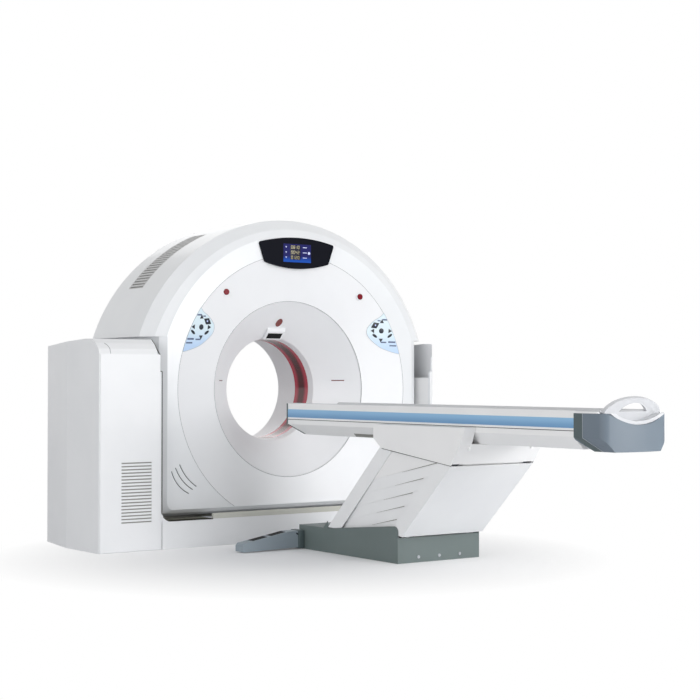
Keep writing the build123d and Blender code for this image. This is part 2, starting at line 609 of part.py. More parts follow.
with BuildPart() as right_tower_cover:
    prism_x(right_profile, LIP_IN, 1230)
    prism_z([(LIP_IN, TOWER_FRONT_Y), (RIGHT_NOSE_X, TOWER_FRONT_Y), (1205, -292), (1216, BEND_Y),
             (1206, TOWER_BACK_Y), (TOWER_IN, TOWER_BACK_Y), (TOWER_IN, -444), (1031, LIP_BACK_Y),
             (LIP_IN, LIP_BACK_Y)], 0, 1300, Mode.INTERSECT)
    add(right_hollow.part, mode=Mode.SUBTRACT)
    block(LIP_IN - 1, TOWER_IN, -600, -400, SHOULDER_Z, 1300, Mode.SUBTRACT)
    block(LIP_IN - 1, LIP_TRIM_X, -600, -400, LIP_TRIM_Z, 1300, Mode.SUBTRACT)
    block(TOWER_IN - 5, FLOOR_PLATE_HALF + 1, PLINTH_BACK_Y - 1, TOWER_BACK_Y - 5, -1, FLOOR_PLATE_TOP_Z,
          Mode.SUBTRACT)
    rod_x(0, ISO_Z, TRUNNION_R + 15, TOWER_IN - 10, TOWER_IN + 10, Mode.SUBTRACT)
keep(right_tower_cover, "right_tower_cover")

# Couch base

FRONT_TOP = along(FRONT_PIVOT, LIFT_ANGLE, ARM_LENGTH)
REAR_TOP = along(REAR_PIVOT, LIFT_ANGLE, ARM_LENGTH)
slope = tan(radians(SHUTTER_SLOPE))

def groove_point(index, start, side):
    """Point of a groove line at a distance to the gantry side of an arm's centre line.

    The first index is 1, and start is the arm's lower pivot.
    """
    line_y, line_z = along(REAR_PIVOT, LIFT_ANGLE, GROOVE_START + SHUTTER_PITCH * (index - 1))
    a = radians(LIFT_ANGLE)
    rise = line_z - start[1] + slope * (line_y - start[0]) - side * (cos(a) + slope * sin(a))
    return along(start, LIFT_ANGLE, rise / (sin(a) - slope * cos(a)), side)


def shutter_points(index):
    """Side plate between the two arms whose lower edge is a groove line."""
    a = radians(LIFT_ANGLE)
    run = SHUTTER_HEIGHT / (sin(a) - slope * cos(a))
    low_rear = groove_point(index, REAR_PIVOT, SHUTTER_REAR_SIDE)
    low_front = groove_point(index, FRONT_PIVOT, SHUTTER_FRONT_SIDE)
    return [low_rear, along(low_rear, LIFT_ANGLE, run), along(low_front, LIFT_ANGLE, run), low_front]


def plates(points, near, thick, mode=Mode.ADD):
    """The same side plate on both sides of the couch."""
    prism_x(points, near, near + thick, mode)
    prism_x(points, -near - thick, -near, mode)


BRACKET_IN = 200
BRACKET_OUT = 222
BRACKET_R = 34
BASE_TOP_Z = 30
FIRST_PLATE_IN = FIRST_SHUTTER_IN - SHUTTER_STEP

with BuildPart() as couch_base_frame:
    block(-265, 265, -1885, -930, 0, BASE_TOP_Z)
    for x in (-235, 235):
        for y in (-1840, -980):
            rod_z(x, y, 8, 0, BASE_TOP_Z, Mode.SUBTRACT)
    for low in (BRACKET_IN, -BRACKET_OUT):
        high = low + BRACKET_OUT - BRACKET_IN
        fy, fz = FRONT_PIVOT
        prism_x([(fy - 33, BASE_TOP_Z), (fy + 33, BASE_TOP_Z), (fy + 33, fz), (fy - 33, fz)], low, high)
        rod_x(fy, fz, BRACKET_R, low, high)
        ry, rz = REAR_PIVOT
        prism_x([(ry + 22, BASE_TOP_Z), (ry + 120, BASE_TOP_Z), (ry + 33, rz + 8), (ry, rz), (ry + 22, rz - 28)],
                low, high)
        rod_x(ry, rz, BRACKET_R, low, high)
    for y, z in (FRONT_PIVOT, REAR_PIVOT):
        rod_x(y, z, PIN_R, BRACKET_IN - 4, ARM_OUT + 4)
        rod_x(y, z, PIN_R, -ARM_OUT - 4, -BRACKET_IN + 4)
    first = shutter_points(1)
    plates(first, FIRST_PLATE_IN, SHUTTER_THICK)
    front_foot = (first[3][0] - 8, first[3][1] + 18)
    rear_foot = (first[0][0] - 8, first[0][1] + 18)
    plates([(-1870, 0), (-1870, 150), rear_foot, front_foot, (-1240, 0)], FIRST_PLATE_IN - 3, 3)
keep(couch_base_frame, "couch_base_frame")

with BuildPart() as lift_gearmotor:
    rod_x(FRONT_PIVOT[0], FRONT_PIVOT[1], 38, -150, 150)
    block(-110, 110, FRONT_PIVOT[0] - 50, FRONT_PIVOT[0] + 30, BASE_TOP_Z, FRONT_PIVOT[1])
    rod_y(0, 100, 45, FRONT_PIVOT[0] - 230, FRONT_PIVOT[0] - 50)
keep(lift_gearmotor, "lift_gearmotor")

WING_RISE = 66
with BuildPart() as couch_skirt:
    block(-SADDLE_HALF, SADDLE_HALF, SKIRT_BACK_Y, SKIRT_FRONT_Y, 0, SKIRT_TOP_Z)
    block(-BAND_OUT - 0.5, BAND_OUT + 0.5, SKIRT_BACK_Y + COVER_SHEET, SKIRT_FRONT_Y - COVER_SHEET, -1,
          SKIRT_TOP_Z - COVER_SHEET, Mode.SUBTRACT)
    block(-BAND_OUT - 0.5, BAND_OUT + 0.5, SKIRT_BACK_Y + COVER_SHEET, -1168, 100, SKIRT_TOP_Z + 1, Mode.SUBTRACT)
    plates([(-1168, SKIRT_TOP_Z), (-1216, SKIRT_TOP_Z), (-1212, SKIRT_TOP_Z + 43)], BAND_OUT + 0.5, COVER_SHEET)
    plates([(-1206, SKIRT_TOP_Z - 10), (-1206, SKIRT_TOP_Z), (SKIRT_BACK_Y, SKIRT_TOP_Z + WING_RISE),
            (SKIRT_BACK_Y, SKIRT_TOP_Z - 10)], BAND_OUT + 0.5, COVER_SHEET)
    fillet(couch_skirt.edges().filter_by(Axis.X).group_by(Axis.Z)[-1], 33)
    for x in (-146, 0, 146):
        rod_y(x, 30, 4, SKIRT_BACK_Y - 1, SKIRT_BACK_Y + 5, Mode.SUBTRACT)
keep(couch_skirt, "couch_skirt")

with BuildPart() as skirt_screws:
    for x in (-146, 0, 146):
        rod_y(x, 30, 4, SKIRT_BACK_Y, SKIRT_BACK_Y + 9)
        rod_y(x, 30, 9, SKIRT_BACK_Y - 3, SKIRT_BACK_Y)
keep(skirt_screws, "skirt_screws")

PEDAL_TIP_X = -717
PEDAL_NEAR_Y = -966
PEDAL_FAR_Y = -884
PEDAL_DROP = radians(8)
pedal_bays = ((-640, -535), (-515, -410))

with BuildPart() as pedal_housing:
    prism_y([(-SADDLE_HALF, 12), (-SADDLE_HALF, 84), (-318, 108), (-398, 108), (PEDAL_TIP_X + 12, 54),
             (PEDAL_TIP_X, 40), (PEDAL_TIP_X, 6), (PEDAL_TIP_X + 14, 4)], PEDAL_NEAR_Y, PEDAL_FAR_Y)
    for low, high in pedal_bays:
        block(low, high, PEDAL_NEAR_Y + 12, PEDAL_FAR_Y + 1, 30, 130, Mode.SUBTRACT)
        rod_x(PEDAL_FAR_Y - 12, 42, 5, low - 10, high + 10, Mode.SUBTRACT)
keep(pedal_housing, "pedal_housing")

for (low, high), name in zip(pedal_bays, ("outer_pedal", "inner_pedal")):
    with BuildPart() as pedal:
        top_low = 54 + (low - PEDAL_TIP_X - 12) * 54 / (-398 - PEDAL_TIP_X - 12)
        top_high = 54 + (high - PEDAL_TIP_X - 12) * 54 / (-398 - PEDAL_TIP_X - 12)
        prism_y([(low + 1, 36), (high - 1, 36), (high - 1, top_high), (low + 1, top_low)],
                PEDAL_NEAR_Y + 18, PEDAL_FAR_Y - 2)
        rod_x(PEDAL_FAR_Y - 12, 42, 4.95, low - 8, high + 8)
    keep(pedal, name)

# Lift arms, covers and shutters

for start, side_sign, name in ((FRONT_PIVOT, 1, "front_arm"), (REAR_PIVOT, -1, "rear_arm")):
    end = along(start, LIFT_ANGLE, ARM_LENGTH)
    near_panel = side_sign * (BAND_HALF - COVER_SHEET)
    with BuildPart() as arm:
        for low in (ARM_IN, -ARM_OUT):
            high = low + ARM_OUT - ARM_IN
            prism_x([along(start, LIFT_ANGLE, 30, -30), along(end, LIFT_ANGLE, -30, -30),
                     along(end, LIFT_ANGLE, -30, 30), along(start, LIFT_ANGLE, 30, 30)], low, high)
            prism_x([along(start, LIFT_ANGLE, 0, -28), along(end, LIFT_ANGLE, 0, -28),
                     along(end, LIFT_ANGLE, 0, 28), along(start, LIFT_ANGLE, 0, 28)], low, high)
            prism_x([along(start, LIFT_ANGLE, 60, 0), along(end, LIFT_ANGLE, -60, 0),
                     along(end, LIFT_ANGLE, -60, near_panel), along(start, LIFT_ANGLE, 60, near_panel)], low, high)
            for y, z in (start, end):
                rod_x(y, z, BRACKET_R, low, high)
                rod_x(y, z, PIN_R + BEARING_CLEARANCE, low, high, Mode.SUBTRACT)
        middle = along(start, LIFT_ANGLE, ARM_LENGTH / 2)
        rod_x(middle[0], middle[1], 26, -ARM_IN, ARM_IN)
    keep(arm, name)

# Front cover: the lower end follows the skirt's top edge at rest
front_band = [along(FRONT_PIVOT, LIFT_ANGLE, ARM_LENGTH + 6, -BAND_HALF),
              along(FRONT_PIVOT, LIFT_ANGLE, ARM_LENGTH + 6, BAND_HALF),
              along(FRONT_PIVOT, LIFT_ANGLE, -182, BAND_HALF), along(FRONT_PIVOT, LIFT_ANGLE, -88, -BAND_HALF)]
front_panel = [along(FRONT_PIVOT, LIFT_ANGLE, ARM_LENGTH - 4, BAND_HALF - COVER_SHEET),
               along(FRONT_PIVOT, LIFT_ANGLE, ARM_LENGTH - 4, BAND_HALF),
               along(FRONT_PIVOT, LIFT_ANGLE, -182, BAND_HALF),
               along(FRONT_PIVOT, LIFT_ANGLE, -178, BAND_HALF - COVER_SHEET)]

# The notch lets the panel pass the table's underside when the couch is low
NOTCH_HALF = 170
NOTCH_START = 475
front_notch = [along(FRONT_PIVOT, LIFT_ANGLE, NOTCH_START, BAND_HALF - COVER_SHEET - 1),
               along(FRONT_PIVOT, LIFT_ANGLE, NOTCH_START, BAND_HALF + 1),
               along(FRONT_PIVOT, LIFT_ANGLE, ARM_LENGTH + 10, BAND_HALF + 1),
               along(FRONT_PIVOT, LIFT_ANGLE, ARM_LENGTH + 10, BAND_HALF - COVER_SHEET - 1)]
with BuildPart() as front_arm_cover:
    plates(front_band, BAND_IN, BAND_OUT - BAND_IN)
    prism_x(front_panel, -BAND_IN, BAND_IN)
    prism_x(front_notch, -NOTCH_HALF, NOTCH_HALF, Mode.SUBTRACT)
keep(front_arm_cover, "front_arm_cover")

rear_band = [along(REAR_PIVOT, LIFT_ANGLE, ARM_LENGTH + 6, BAND_HALF),
             along(REAR_PIVOT, LIFT_ANGLE, ARM_LENGTH + 6, -BAND_HALF + 19),
             along(REAR_PIVOT, LIFT_ANGLE, ARM_LENGTH - 14, -BAND_HALF),
             along(REAR_PIVOT, LIFT_ANGLE, -12, -BAND_HALF), along(REAR_PIVOT, LIFT_ANGLE, -60, BAND_HALF - 30),
             along(REAR_PIVOT, LIFT_ANGLE, -60, BAND_HALF)]
rear_panel = [along(REAR_PIVOT, LIFT_ANGLE, ARM_LENGTH - 6, -BAND_HALF + COVER_SHEET),
              along(REAR_PIVOT, LIFT_ANGLE, ARM_LENGTH - 6, -BAND_HALF),
              along(REAR_PIVOT, LIFT_ANGLE, -12, -BAND_HALF),
              along(REAR_PIVOT, LIFT_ANGLE, -12, -BAND_HALF + COVER_SHEET)]
with BuildPart() as rear_arm_cover:
    plates(rear_band, BAND_IN, BAND_OUT - BAND_IN)
    prism_x(rear_panel, -BAND_IN, BAND_IN)
keep(rear_arm_cover, "rear_arm_cover")

for index in (2, 3, 4):
    near = FIRST_SHUTTER_IN + (index - 2) * SHUTTER_STEP
    with BuildPart() as shutter:
        plates(shutter_points(index), near, SHUTTER_THICK)
    keep(shutter, f"shutter_{index - 1}")

# Saddle and table

fy, fz = FRONT_TOP
ry, rz = REAR_TOP
last_near = FIRST_SHUTTER_IN + 3 * SHUTTER_STEP
RAIL_FRONT_Y = fy - 56
RAIL_BACK_Y = ry - 100
RAIL_IN = TABLE_HALF + 2
RAIL_LOW_Z = TABLE_BOTTOM_Z - 33
LEDGE_Z = TABLE_BOTTOM_Z + 77
SADDLE_TOP_Z = LEDGE_Z + 10
CROSS_LOW_Z = TABLE_BOTTOM_Z - 5
CROSS_TUBE_R = 36
CORNER_LIFT = 4
with BuildPart() as saddle_housing:
    prism_x([(fy + 127.7, SADDLE_TOP_Z), (fy + 127.7, fz + 42.8), (fy + 55.7, fz - 9.2), (ry - 29.3, rz - 31.2),
             (ry - 107.3, rz + 83.8), (ry - 144.3, SADDLE_TOP_Z)], -SADDLE_HALF, SADDLE_HALF)
    prism_x([(fy + 123.7, LEDGE_Z), (fy + 123.7, fz + 44.8), (fy + 200, fz + 44.8), (fy + 200, fz - 140),
             (ry - 74.3, rz - 89), (ry - 74.3, rz - 23.2), (ry - 30.3, rz - 23.2), (ry - 102.3, rz + 83.8),
             (ry - 135.3, LEDGE_Z)], -BAND_OUT - 0.5, BAND_OUT + 0.5, Mode.SUBTRACT)
    block(-TABLE_HALF - 1, TABLE_HALF + 1, ry - 180, fy + 200, CROSS_LOW_Z, SADDLE_TOP_Z + 1, Mode.SUBTRACT)
    block(-BRACKET_OUT, BRACKET_OUT, RAIL_BACK_Y, RAIL_FRONT_Y, CROSS_LOW_Z, TABLE_BOTTOM_Z)
    block(RAIL_IN, BRACKET_OUT, RAIL_BACK_Y, RAIL_FRONT_Y, RAIL_LOW_Z, LEDGE_Z + 5)
    block(-BRACKET_OUT, -RAIL_IN, RAIL_BACK_Y, RAIL_FRONT_Y, RAIL_LOW_Z, LEDGE_Z + 5)
    for low in (BRACKET_IN, -BRACKET_OUT):
        high = low + BRACKET_OUT - BRACKET_IN
        prism_x([(fy - 8, CROSS_LOW_Z + 2), (fy - 110, CROSS_LOW_Z + 2), (fy - 33, fz - 8), (fy, fz),
                 (fy - 8, fz + 34)], low, high)
        rod_x(fy, fz, BRACKET_R, low, high)
        prism_x([(ry - 33, rz), (ry + 33, rz), (ry + 33, CROSS_LOW_Z + 2), (ry - 33, CROSS_LOW_Z + 2)], low, high)
        rod_x(ry, rz, BRACKET_R, low, high)
    rod_x(ry, rz, CROSS_TUBE_R, -BRACKET_IN - 1, BRACKET_IN + 1)
    rod_x(ry, rz, CROSS_TUBE_R - 4, -BRACKET_IN + 4, BRACKET_IN - 4, Mode.SUBTRACT)
    for y, z in (FRONT_TOP, REAR_TOP):
        rod_x(y, z, PIN_R, BRACKET_IN - 3, ARM_OUT + 4)
        rod_x(y, z, PIN_R, -ARM_OUT - 4, -BRACKET_IN + 3)
    corner_y, corner_z = groove_point(5, FRONT_PIVOT, SHUTTER_FRONT_SIDE - 7)
    plates([groove_point(5, REAR_PIVOT, SHUTTER_REAR_SIDE), (ry - 74.3, rz + 50.8), (ry - 114.3, LEDGE_Z),
            (RAIL_FRONT_Y, LEDGE_Z), (RAIL_FRONT_Y, fz + 20.8), (corner_y, corner_z + CORNER_LIFT)],
           last_near, SHUTTER_THICK)
keep(saddle_housing, "saddle_housing")

table_section = [(-TABLE_HALF, TABLE_TOP_Z - 3), (-TABLE_HALF, TABLE_CHAMFER_Z), (-150, TABLE_BOTTOM_Z),
                 (150, TABLE_BOTTOM_Z), (TABLE_HALF, TABLE_CHAMFER_Z), (TABLE_HALF, TABLE_TOP_Z - 3)]
HOLLOW_TOP_Z = TABLE_BOTTOM_Z + 85
with BuildPart() as table_body:
    prism_y(table_section, CAP_JOINT_Y, TABLE_END_Y)
    rod_y(0, CHANNEL_CENTRE_Z, CHANNEL_R, CAP_JOINT_Y - 1, TABLE_END_Y + 1, Mode.SUBTRACT)
    prism_y([(-TABLE_HALF + 9, HOLLOW_TOP_Z), (-TABLE_HALF + 9, TABLE_CHAMFER_Z + 4), (-146, TABLE_BOTTOM_Z + 6),
             (146, TABLE_BOTTOM_Z + 6), (TABLE_HALF - 9, TABLE_CHAMFER_Z + 4), (TABLE_HALF - 9, HOLLOW_TOP_Z)],
            CAP_JOINT_Y - 1, TABLE_END_Y - 130, Mode.SUBTRACT)
    prism_x([(TABLE_END_Y - 115, TABLE_BOTTOM_Z - 1), (TABLE_END_Y + 5, TABLE_CHAMFER_Z + 4),
             (TABLE_END_Y + 5, TABLE_BOTTOM_Z - 1)], -TABLE_HALF - 1, TABLE_HALF + 1, Mode.SUBTRACT)
    for low, high in ((-TABLE_HALF - 1, -TABLE_HALF + 3), (TABLE_HALF - 3, TABLE_HALF + 1)):
        block(low, high, CAP_JOINT_Y - 1, TABLE_END_Y + 1, STRIP_LOW_Z, STRIP_HIGH_Z, Mode.SUBTRACT)
        block(low, high, CAP_JOINT_Y - 1, TABLE_END_Y + 1, STRIP_LOW_Z - 15, STRIP_LOW_Z - 11, Mode.SUBTRACT)
keep(table_body, "table_body")

for low, high, name in ((-TABLE_HALF - 1, -TABLE_HALF + 3, "side_strip_left"),
                        (TABLE_HALF - 3, TABLE_HALF + 1, "side_strip_right")):
    with BuildPart() as side_strip:
        block(low, high, CAP_JOINT_Y, TABLE_END_Y, STRIP_LOW_Z, STRIP_HIGH_Z)
    keep(side_strip, name)

CAP_HALF = 214
CAP_TOP_Z = TABLE_TOP_Z - 15
CAP_SIDE_END_Y = CAP_END_Y + 38
with BuildPart() as end_cap:
    prism_y([(-CAP_HALF, CAP_TOP_Z), (-CAP_HALF, TABLE_CHAMFER_Z - 2), (-152, TABLE_BOTTOM_Z - 7),
             (152, TABLE_BOTTOM_Z - 7), (CAP_HALF, TABLE_CHAMFER_Z - 2), (CAP_HALF, CAP_TOP_Z)],
            CAP_END_Y - 10, CAP_JOINT_Y)
    with BuildSketch(Plane.XY.offset(TABLE_BOTTOM_Z - 70)) as plan:
        with BuildLine():
            Line((-CAP_HALF, CAP_JOINT_Y), (-CAP_HALF, CAP_SIDE_END_Y))
            ThreePointArc((-CAP_HALF, CAP_SIDE_END_Y), (0, CAP_END_Y), (CAP_HALF, CAP_SIDE_END_Y))
            Line((CAP_HALF, CAP_SIDE_END_Y), (CAP_HALF, CAP_JOINT_Y))
            Line((CAP_HALF, CAP_JOINT_Y), (-CAP_HALF, CAP_JOINT_Y))
        make_face()
        fillet(plan.vertices().group_by(Axis.Y)[0], 50)
    extrude(plan.sketch, amount=300, mode=Mode.INTERSECT)
    prism_x([(CAP_JOINT_Y - 80, TABLE_BOTTOM_Z - 8), (CAP_JOINT_Y + 1, TABLE_BOTTOM_Z + 47),
             (CAP_JOINT_Y + 1, TABLE_BOTTOM_Z - 8)], -CAP_HALF - 1, CAP_HALF + 1, Mode.SUBTRACT)
    rod_y(0, CHANNEL_CENTRE_Z, CHANNEL_R, CAP_END_Y - 20, CAP_JOINT_Y + 1, Mode.SUBTRACT)
    block(-CAP_HALF + 30, CAP_HALF - 30, CAP_END_Y + 60, CAP_JOINT_Y + 1, TABLE_BOTTOM_Z + 27, TABLE_BOTTOM_Z + 102,
          Mode.SUBTRACT)
keep(end_cap, "end_cap")

# Sliding top, closed at the far end by a leaning plate with a grip hole
CRADLE_TIP_Y = CAP_END_Y + 18
HANDLE_Y = CAP_END_Y + 80
HANDLE_LEAN = radians(23)
HANDLE_HALF = 188
HANDLE_RISE = 87
HANDLE_THICK = 20
GRIP_HALF = 95
GRIP_LOW = 15
GRIP_HIGH = 60
FOOT_Z = TABLE_TOP_Z - 13
handle_plane = Plane(origin=(0, HANDLE_Y, FOOT_Z), x_dir=(1, 0, 0), z_dir=(0, -cos(HANDLE_LEAN), -sin(HANDLE_LEAN)))

with BuildPart() as below_channel:
    block(-260, 260, CRADLE_TIP_Y, TABLE_END_Y, TABLE_BOTTOM_Z, TABLE_TOP_Z - 1)
    rod_y(0, CHANNEL_CENTRE_Z, CHANNEL_R - SLIDE_GAP, CRADLE_TIP_Y - 1, TABLE_END_Y + 1, Mode.SUBTRACT)

with BuildPart() as cradle:
    rod_y(0, CHANNEL_CENTRE_Z, CHANNEL_R - SLIDE_GAP, CRADLE_TIP_Y, TABLE_END_Y - 2)
    rod_y(0, CHANNEL_CENTRE_Z, CHANNEL_R - SLIDE_GAP - CRADLE_THICK, CRADLE_TIP_Y - 1, TABLE_END_Y - 1, Mode.SUBTRACT)
    block(-CRADLE_HALF, CRADLE_HALF, CRADLE_TIP_Y - 1, TABLE_END_Y, TABLE_BOTTOM_Z, TABLE_TOP_Z, Mode.INTERSECT)
    block(-CRADLE_HALF - 1, CRADLE_HALF + 1, CRADLE_TIP_Y - 1, HANDLE_Y - 6, CAP_TOP_Z, TABLE_TOP_Z + 1, Mode.SUBTRACT)
    with BuildSketch(handle_plane) as handle_face:
        Ellipse(HANDLE_HALF, HANDLE_RISE)
        Rectangle(2 * HANDLE_HALF, 60, align=(Align.CENTER, Align.MAX))
        with BuildLine():
            ThreePointArc((-GRIP_HALF, GRIP_LOW), (0, GRIP_HIGH), (GRIP_HALF, GRIP_LOW))
            Line((GRIP_HALF, GRIP_LOW), (-GRIP_HALF, GRIP_LOW))
        make_face(mode=Mode.SUBTRACT)
    extrude(handle_face.sketch, amount=HANDLE_THICK)
    add(below_channel.part, mode=Mode.SUBTRACT)
keep(cradle, "cradle")
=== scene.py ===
"""Looks of a hospital CT scanner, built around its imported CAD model.

Everything is in metres in the CAD frame: +Z up, +Y along the bore from the couch into the gantry,
and the origin on the floor under the isocentre.
"""

import json
import logging
import math
from dataclasses import dataclass, field
from enum import Enum
from typing import Callable, Iterable

import bpy
from bpy.types import Material, Node, NodeTree, Object
from mathutils import Matrix, Vector


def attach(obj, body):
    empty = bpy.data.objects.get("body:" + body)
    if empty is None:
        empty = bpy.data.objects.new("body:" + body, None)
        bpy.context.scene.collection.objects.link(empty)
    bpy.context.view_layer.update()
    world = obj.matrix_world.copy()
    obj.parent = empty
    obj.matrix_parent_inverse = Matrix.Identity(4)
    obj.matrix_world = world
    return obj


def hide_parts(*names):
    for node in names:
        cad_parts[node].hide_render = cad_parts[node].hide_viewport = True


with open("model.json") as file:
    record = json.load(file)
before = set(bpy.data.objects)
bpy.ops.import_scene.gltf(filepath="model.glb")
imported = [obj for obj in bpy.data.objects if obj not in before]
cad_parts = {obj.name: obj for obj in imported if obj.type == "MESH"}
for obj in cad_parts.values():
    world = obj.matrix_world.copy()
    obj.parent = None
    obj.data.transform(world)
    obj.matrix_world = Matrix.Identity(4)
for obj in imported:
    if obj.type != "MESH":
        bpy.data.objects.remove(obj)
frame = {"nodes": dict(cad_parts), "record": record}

LOG = logging.getLogger("ct_scanner")
Pair = tuple[float, float]
Pairs = tuple[Pair, ...]
Triple = tuple[float, float, float]
Triples = tuple[Triple, ...]
Display = tuple[int, int, int]

# The front disc is a cone about the bore's axis, given by its inner and its outer edge
ISO_Z = 0.948
DISC_IN_Y = -0.3645
DISC_IN_R = 0.5615
DISC_OUT_Y = -0.432
DISC_OUT_R = 0.854
PANEL_PLATE = 0.002
SCREEN_FRONT_Y = -0.445

# Numbers of the Mix node's colour sockets
MIX_LOW = 6
MIX_HIGH = 7
MIX_RESULT = 2


def linear_colour(colour: Display) -> tuple[float, float, float, float]:
    """Linear colour, with full alpha, of an 8-bit display colour."""

    def linear(value: int) -> float:
        """One channel, by the display curve."""
        share = value / 255
        return share / 12.92 if share <= 0.04045 else ((share + 0.055) / 1.055) ** 2.4

    return (*map(linear, colour), 1.0)


def spaced(first: float, last: float, steps: int) -> list[float]:
    """Evenly spaced values, the first and the last among them."""
    return [first + (last - first) * step / steps for step in range(steps + 1)]


def side_points(x: float, pairs: Iterable[Pair]) -> list[Vector]:
    """Points of a side view, each a Y and a Z, at one X."""
    return [Vector((x, y, z)) for y, z in pairs]


def front_points(y: float, pairs: Iterable[Pair]) -> list[Vector]:
    """Points of a front view, each an X and a Z, at one Y."""
    return [Vector((x, y, z)) for x, z in pairs]


def ring_points(centre: Pair, radius: float, angles: Iterable[float]) -> list[Pair]:
    """Points of a front view round a circle, at angles from +X towards +Z."""
    return [(centre[0] + radius * math.cos(angle), centre[1] + radius * math.sin(angle)) for angle in angles]


def arc_points(start: Pair, middle: Pair, end: Pair, steps: int) -> list[Pair]:
    """Points along the circular arc through three points of a plane.

    Args:
        start: First point.
        middle: A point between.
        end: Last point.
        steps: Number of steps along the arc.

    Returns:
        The points, both ends among them.
    """
    (ax, az), (bx, bz), (cx, cz) = start, middle, end
    d = 2 * (ax * (bz - cz) + bx * (cz - az) + cx * (az - bz))
    a2, b2, c2 = ax * ax + az * az, bx * bx + bz * bz, cx * cx + cz * cz
    ox = (a2 * (bz - cz) + b2 * (cz - az) + c2 * (az - bz)) / d
    oz = (a2 * (cx - bx) + b2 * (ax - cx) + c2 * (bx - ax)) / d
    first = math.atan2(az - oz, ax - ox)
    halfway = math.atan2(bz - oz, bx - ox)
    last = math.atan2(cz - oz, cx - ox)
    sweep = (last - first) % (2 * math.pi)
    if (halfway - first) % (2 * math.pi) > sweep:
        sweep -= 2 * math.pi
    return ring_points((ox, oz), math.hypot(ax - ox, az - oz), spaced(first, first + sweep, steps))


def smooth_line(knots: Pairs, steps: int) -> list[Pair]:
    """Points along a smooth line through knots of a plane.

    Args:
        knots: The points that the line passes through.
        steps: Number of steps along the whole line.

    Returns:
        The points, both ends among them.
    """
    padded = [knots[0], *knots, knots[-1]]
    points = []
    for place in spaced(0, len(knots) - 1, steps):
        index = min(int(place), len(knots) - 2)
        t = place - index
        a, b, c, d = (Vector(knot) for knot in padded[index:index + 4])
        bend = (2 * a - 5 * b + 4 * c - d) * t ** 2 + (3 * b - a - 3 * c + d) * t ** 3
        points.append(tuple(0.5 * (2 * b + (c - a) * t + bend)))
    return points


class Nodes:
    """Short names for adding and joining shader nodes in one tree."""

    def __init__(self, tree: NodeTree) -> None:
        """Keep the tree that the nodes go into."""
        self.tree = tree

    def add(self, kind: str, **values: object) -> Node:
        """Add a node.

        Args:
            kind: The node's type name in Blender.
            values: Properties of the node, and inputs by their name with spaces as underscores.

        Returns:
            The new node.
        """
        node = self.tree.nodes.new(kind)
        for key, value in values.items():
            if hasattr(node, key):
                setattr(node, key, value)
            else:
                node.inputs[key.replace("_", " ")].default_value = value
        return node

    def join(self, source: Node, output: str | int, target: Node, entry: str | int) -> None:
        """Link an output of one node to an input of another, each by its name or number."""
        self.tree.links.new(source.outputs[output], target.inputs[entry])

    def colour(self, shader: Node, low: Display, high: Display, source: Node, output: str) -> Node:
        """Run the base colour from one colour to another.

        Args:
            shader: The Principled BSDF.
            low: The colour where the source gives 0.
            high: The colour where it gives 1.
            source: The node whose value mixes the two.
            output: Name of its output.

        Returns:
            The node that mixes the two.
        """
        mix = self.add("ShaderNodeMix", data_type="RGBA")
        mix.inputs[MIX_LOW].default_value = linear_colour(low)
        mix.inputs[MIX_HIGH].default_value = linear_colour(high)
        self.join(source, output, mix, 0)
        self.join(mix, MIX_RESULT, shader, "Base Color")
        return mix

    def bump(self, shader: Node, group: Node, strength: float, distance: float) -> None:
        """Bump the surface by a group's height.

        Args:
            shader: The Principled BSDF.
            group: The group whose Height output is used.
            strength: Share of the bump that is seen.
            distance: Height of the bump in metres.
        """
        bump = self.add("ShaderNodeBump", Strength=strength, Distance=distance)
        self.join(group, "Height", bump, "Height")
        self.join(bump, "Normal", shader, "Normal")


class Direction(Enum):
    """Which way a brushed grain runs, as stretch factors of its noise."""

    ALONG_Y = (40.0, 1.0, 40.0)
    ROUND_Y = (30.0, 1.5, 30.0)


class Axis(Enum):
    """Axis that a colour runs along."""

    Y = "Y"
    Z = "Z"


def start_group(name: str, entries: dict[str, float | None]) -> tuple[Nodes, Node, Node]:
    """Start a node group with the outputs Tone, Roughness and Height.

    Args:
        name: The group's name.
        entries: Default values of its inputs by name. An input without a default is a vector.

    Returns:
        The group's node kit, its input node and its output node.
    """
    tree = bpy.data.node_groups.new(name, "ShaderNodeTree")
    for socket, default in entries.items():
        if default is None:
            tree.interface.new_socket(socket, in_out="INPUT", socket_type="NodeSocketVector")
        else:
            item = tree.interface.new_socket(socket, in_out="INPUT", socket_type="NodeSocketFloat")
            item.default_value = default
    for socket in ("Tone", "Roughness", "Height"):
        tree.interface.new_socket(socket, in_out="OUTPUT", socket_type="NodeSocketFloat")
    kit = Nodes(tree)
    return kit, kit.add("NodeGroupInput"), kit.add("NodeGroupOutput")


def swing_roughness(kit: Nodes, inside: Node, outside: Node, noise: Node) -> None:
    """Let a group's roughness swing with a noise, both ways from its Roughness input.

    Args:
        kit: The group's node kit.
        inside: Its input node, with Roughness and Spread.
        outside: Its output node.
        noise: The noise, whose middle value is 0.5.
    """
    level = kit.add("ShaderNodeMath", operation="SUBTRACT")
    level.inputs[1].default_value = 0.5
    kit.join(noise, "Fac", level, 0)
    swing = kit.add("ShaderNodeMath", operation="MULTIPLY_ADD")
    kit.join(level, "Value", swing, 0)
    kit.join(inside, "Spread", swing, 1)
    kit.join(inside, "Roughness", swing, 2)
    kit.join(swing, "Value", outside, "Roughness")


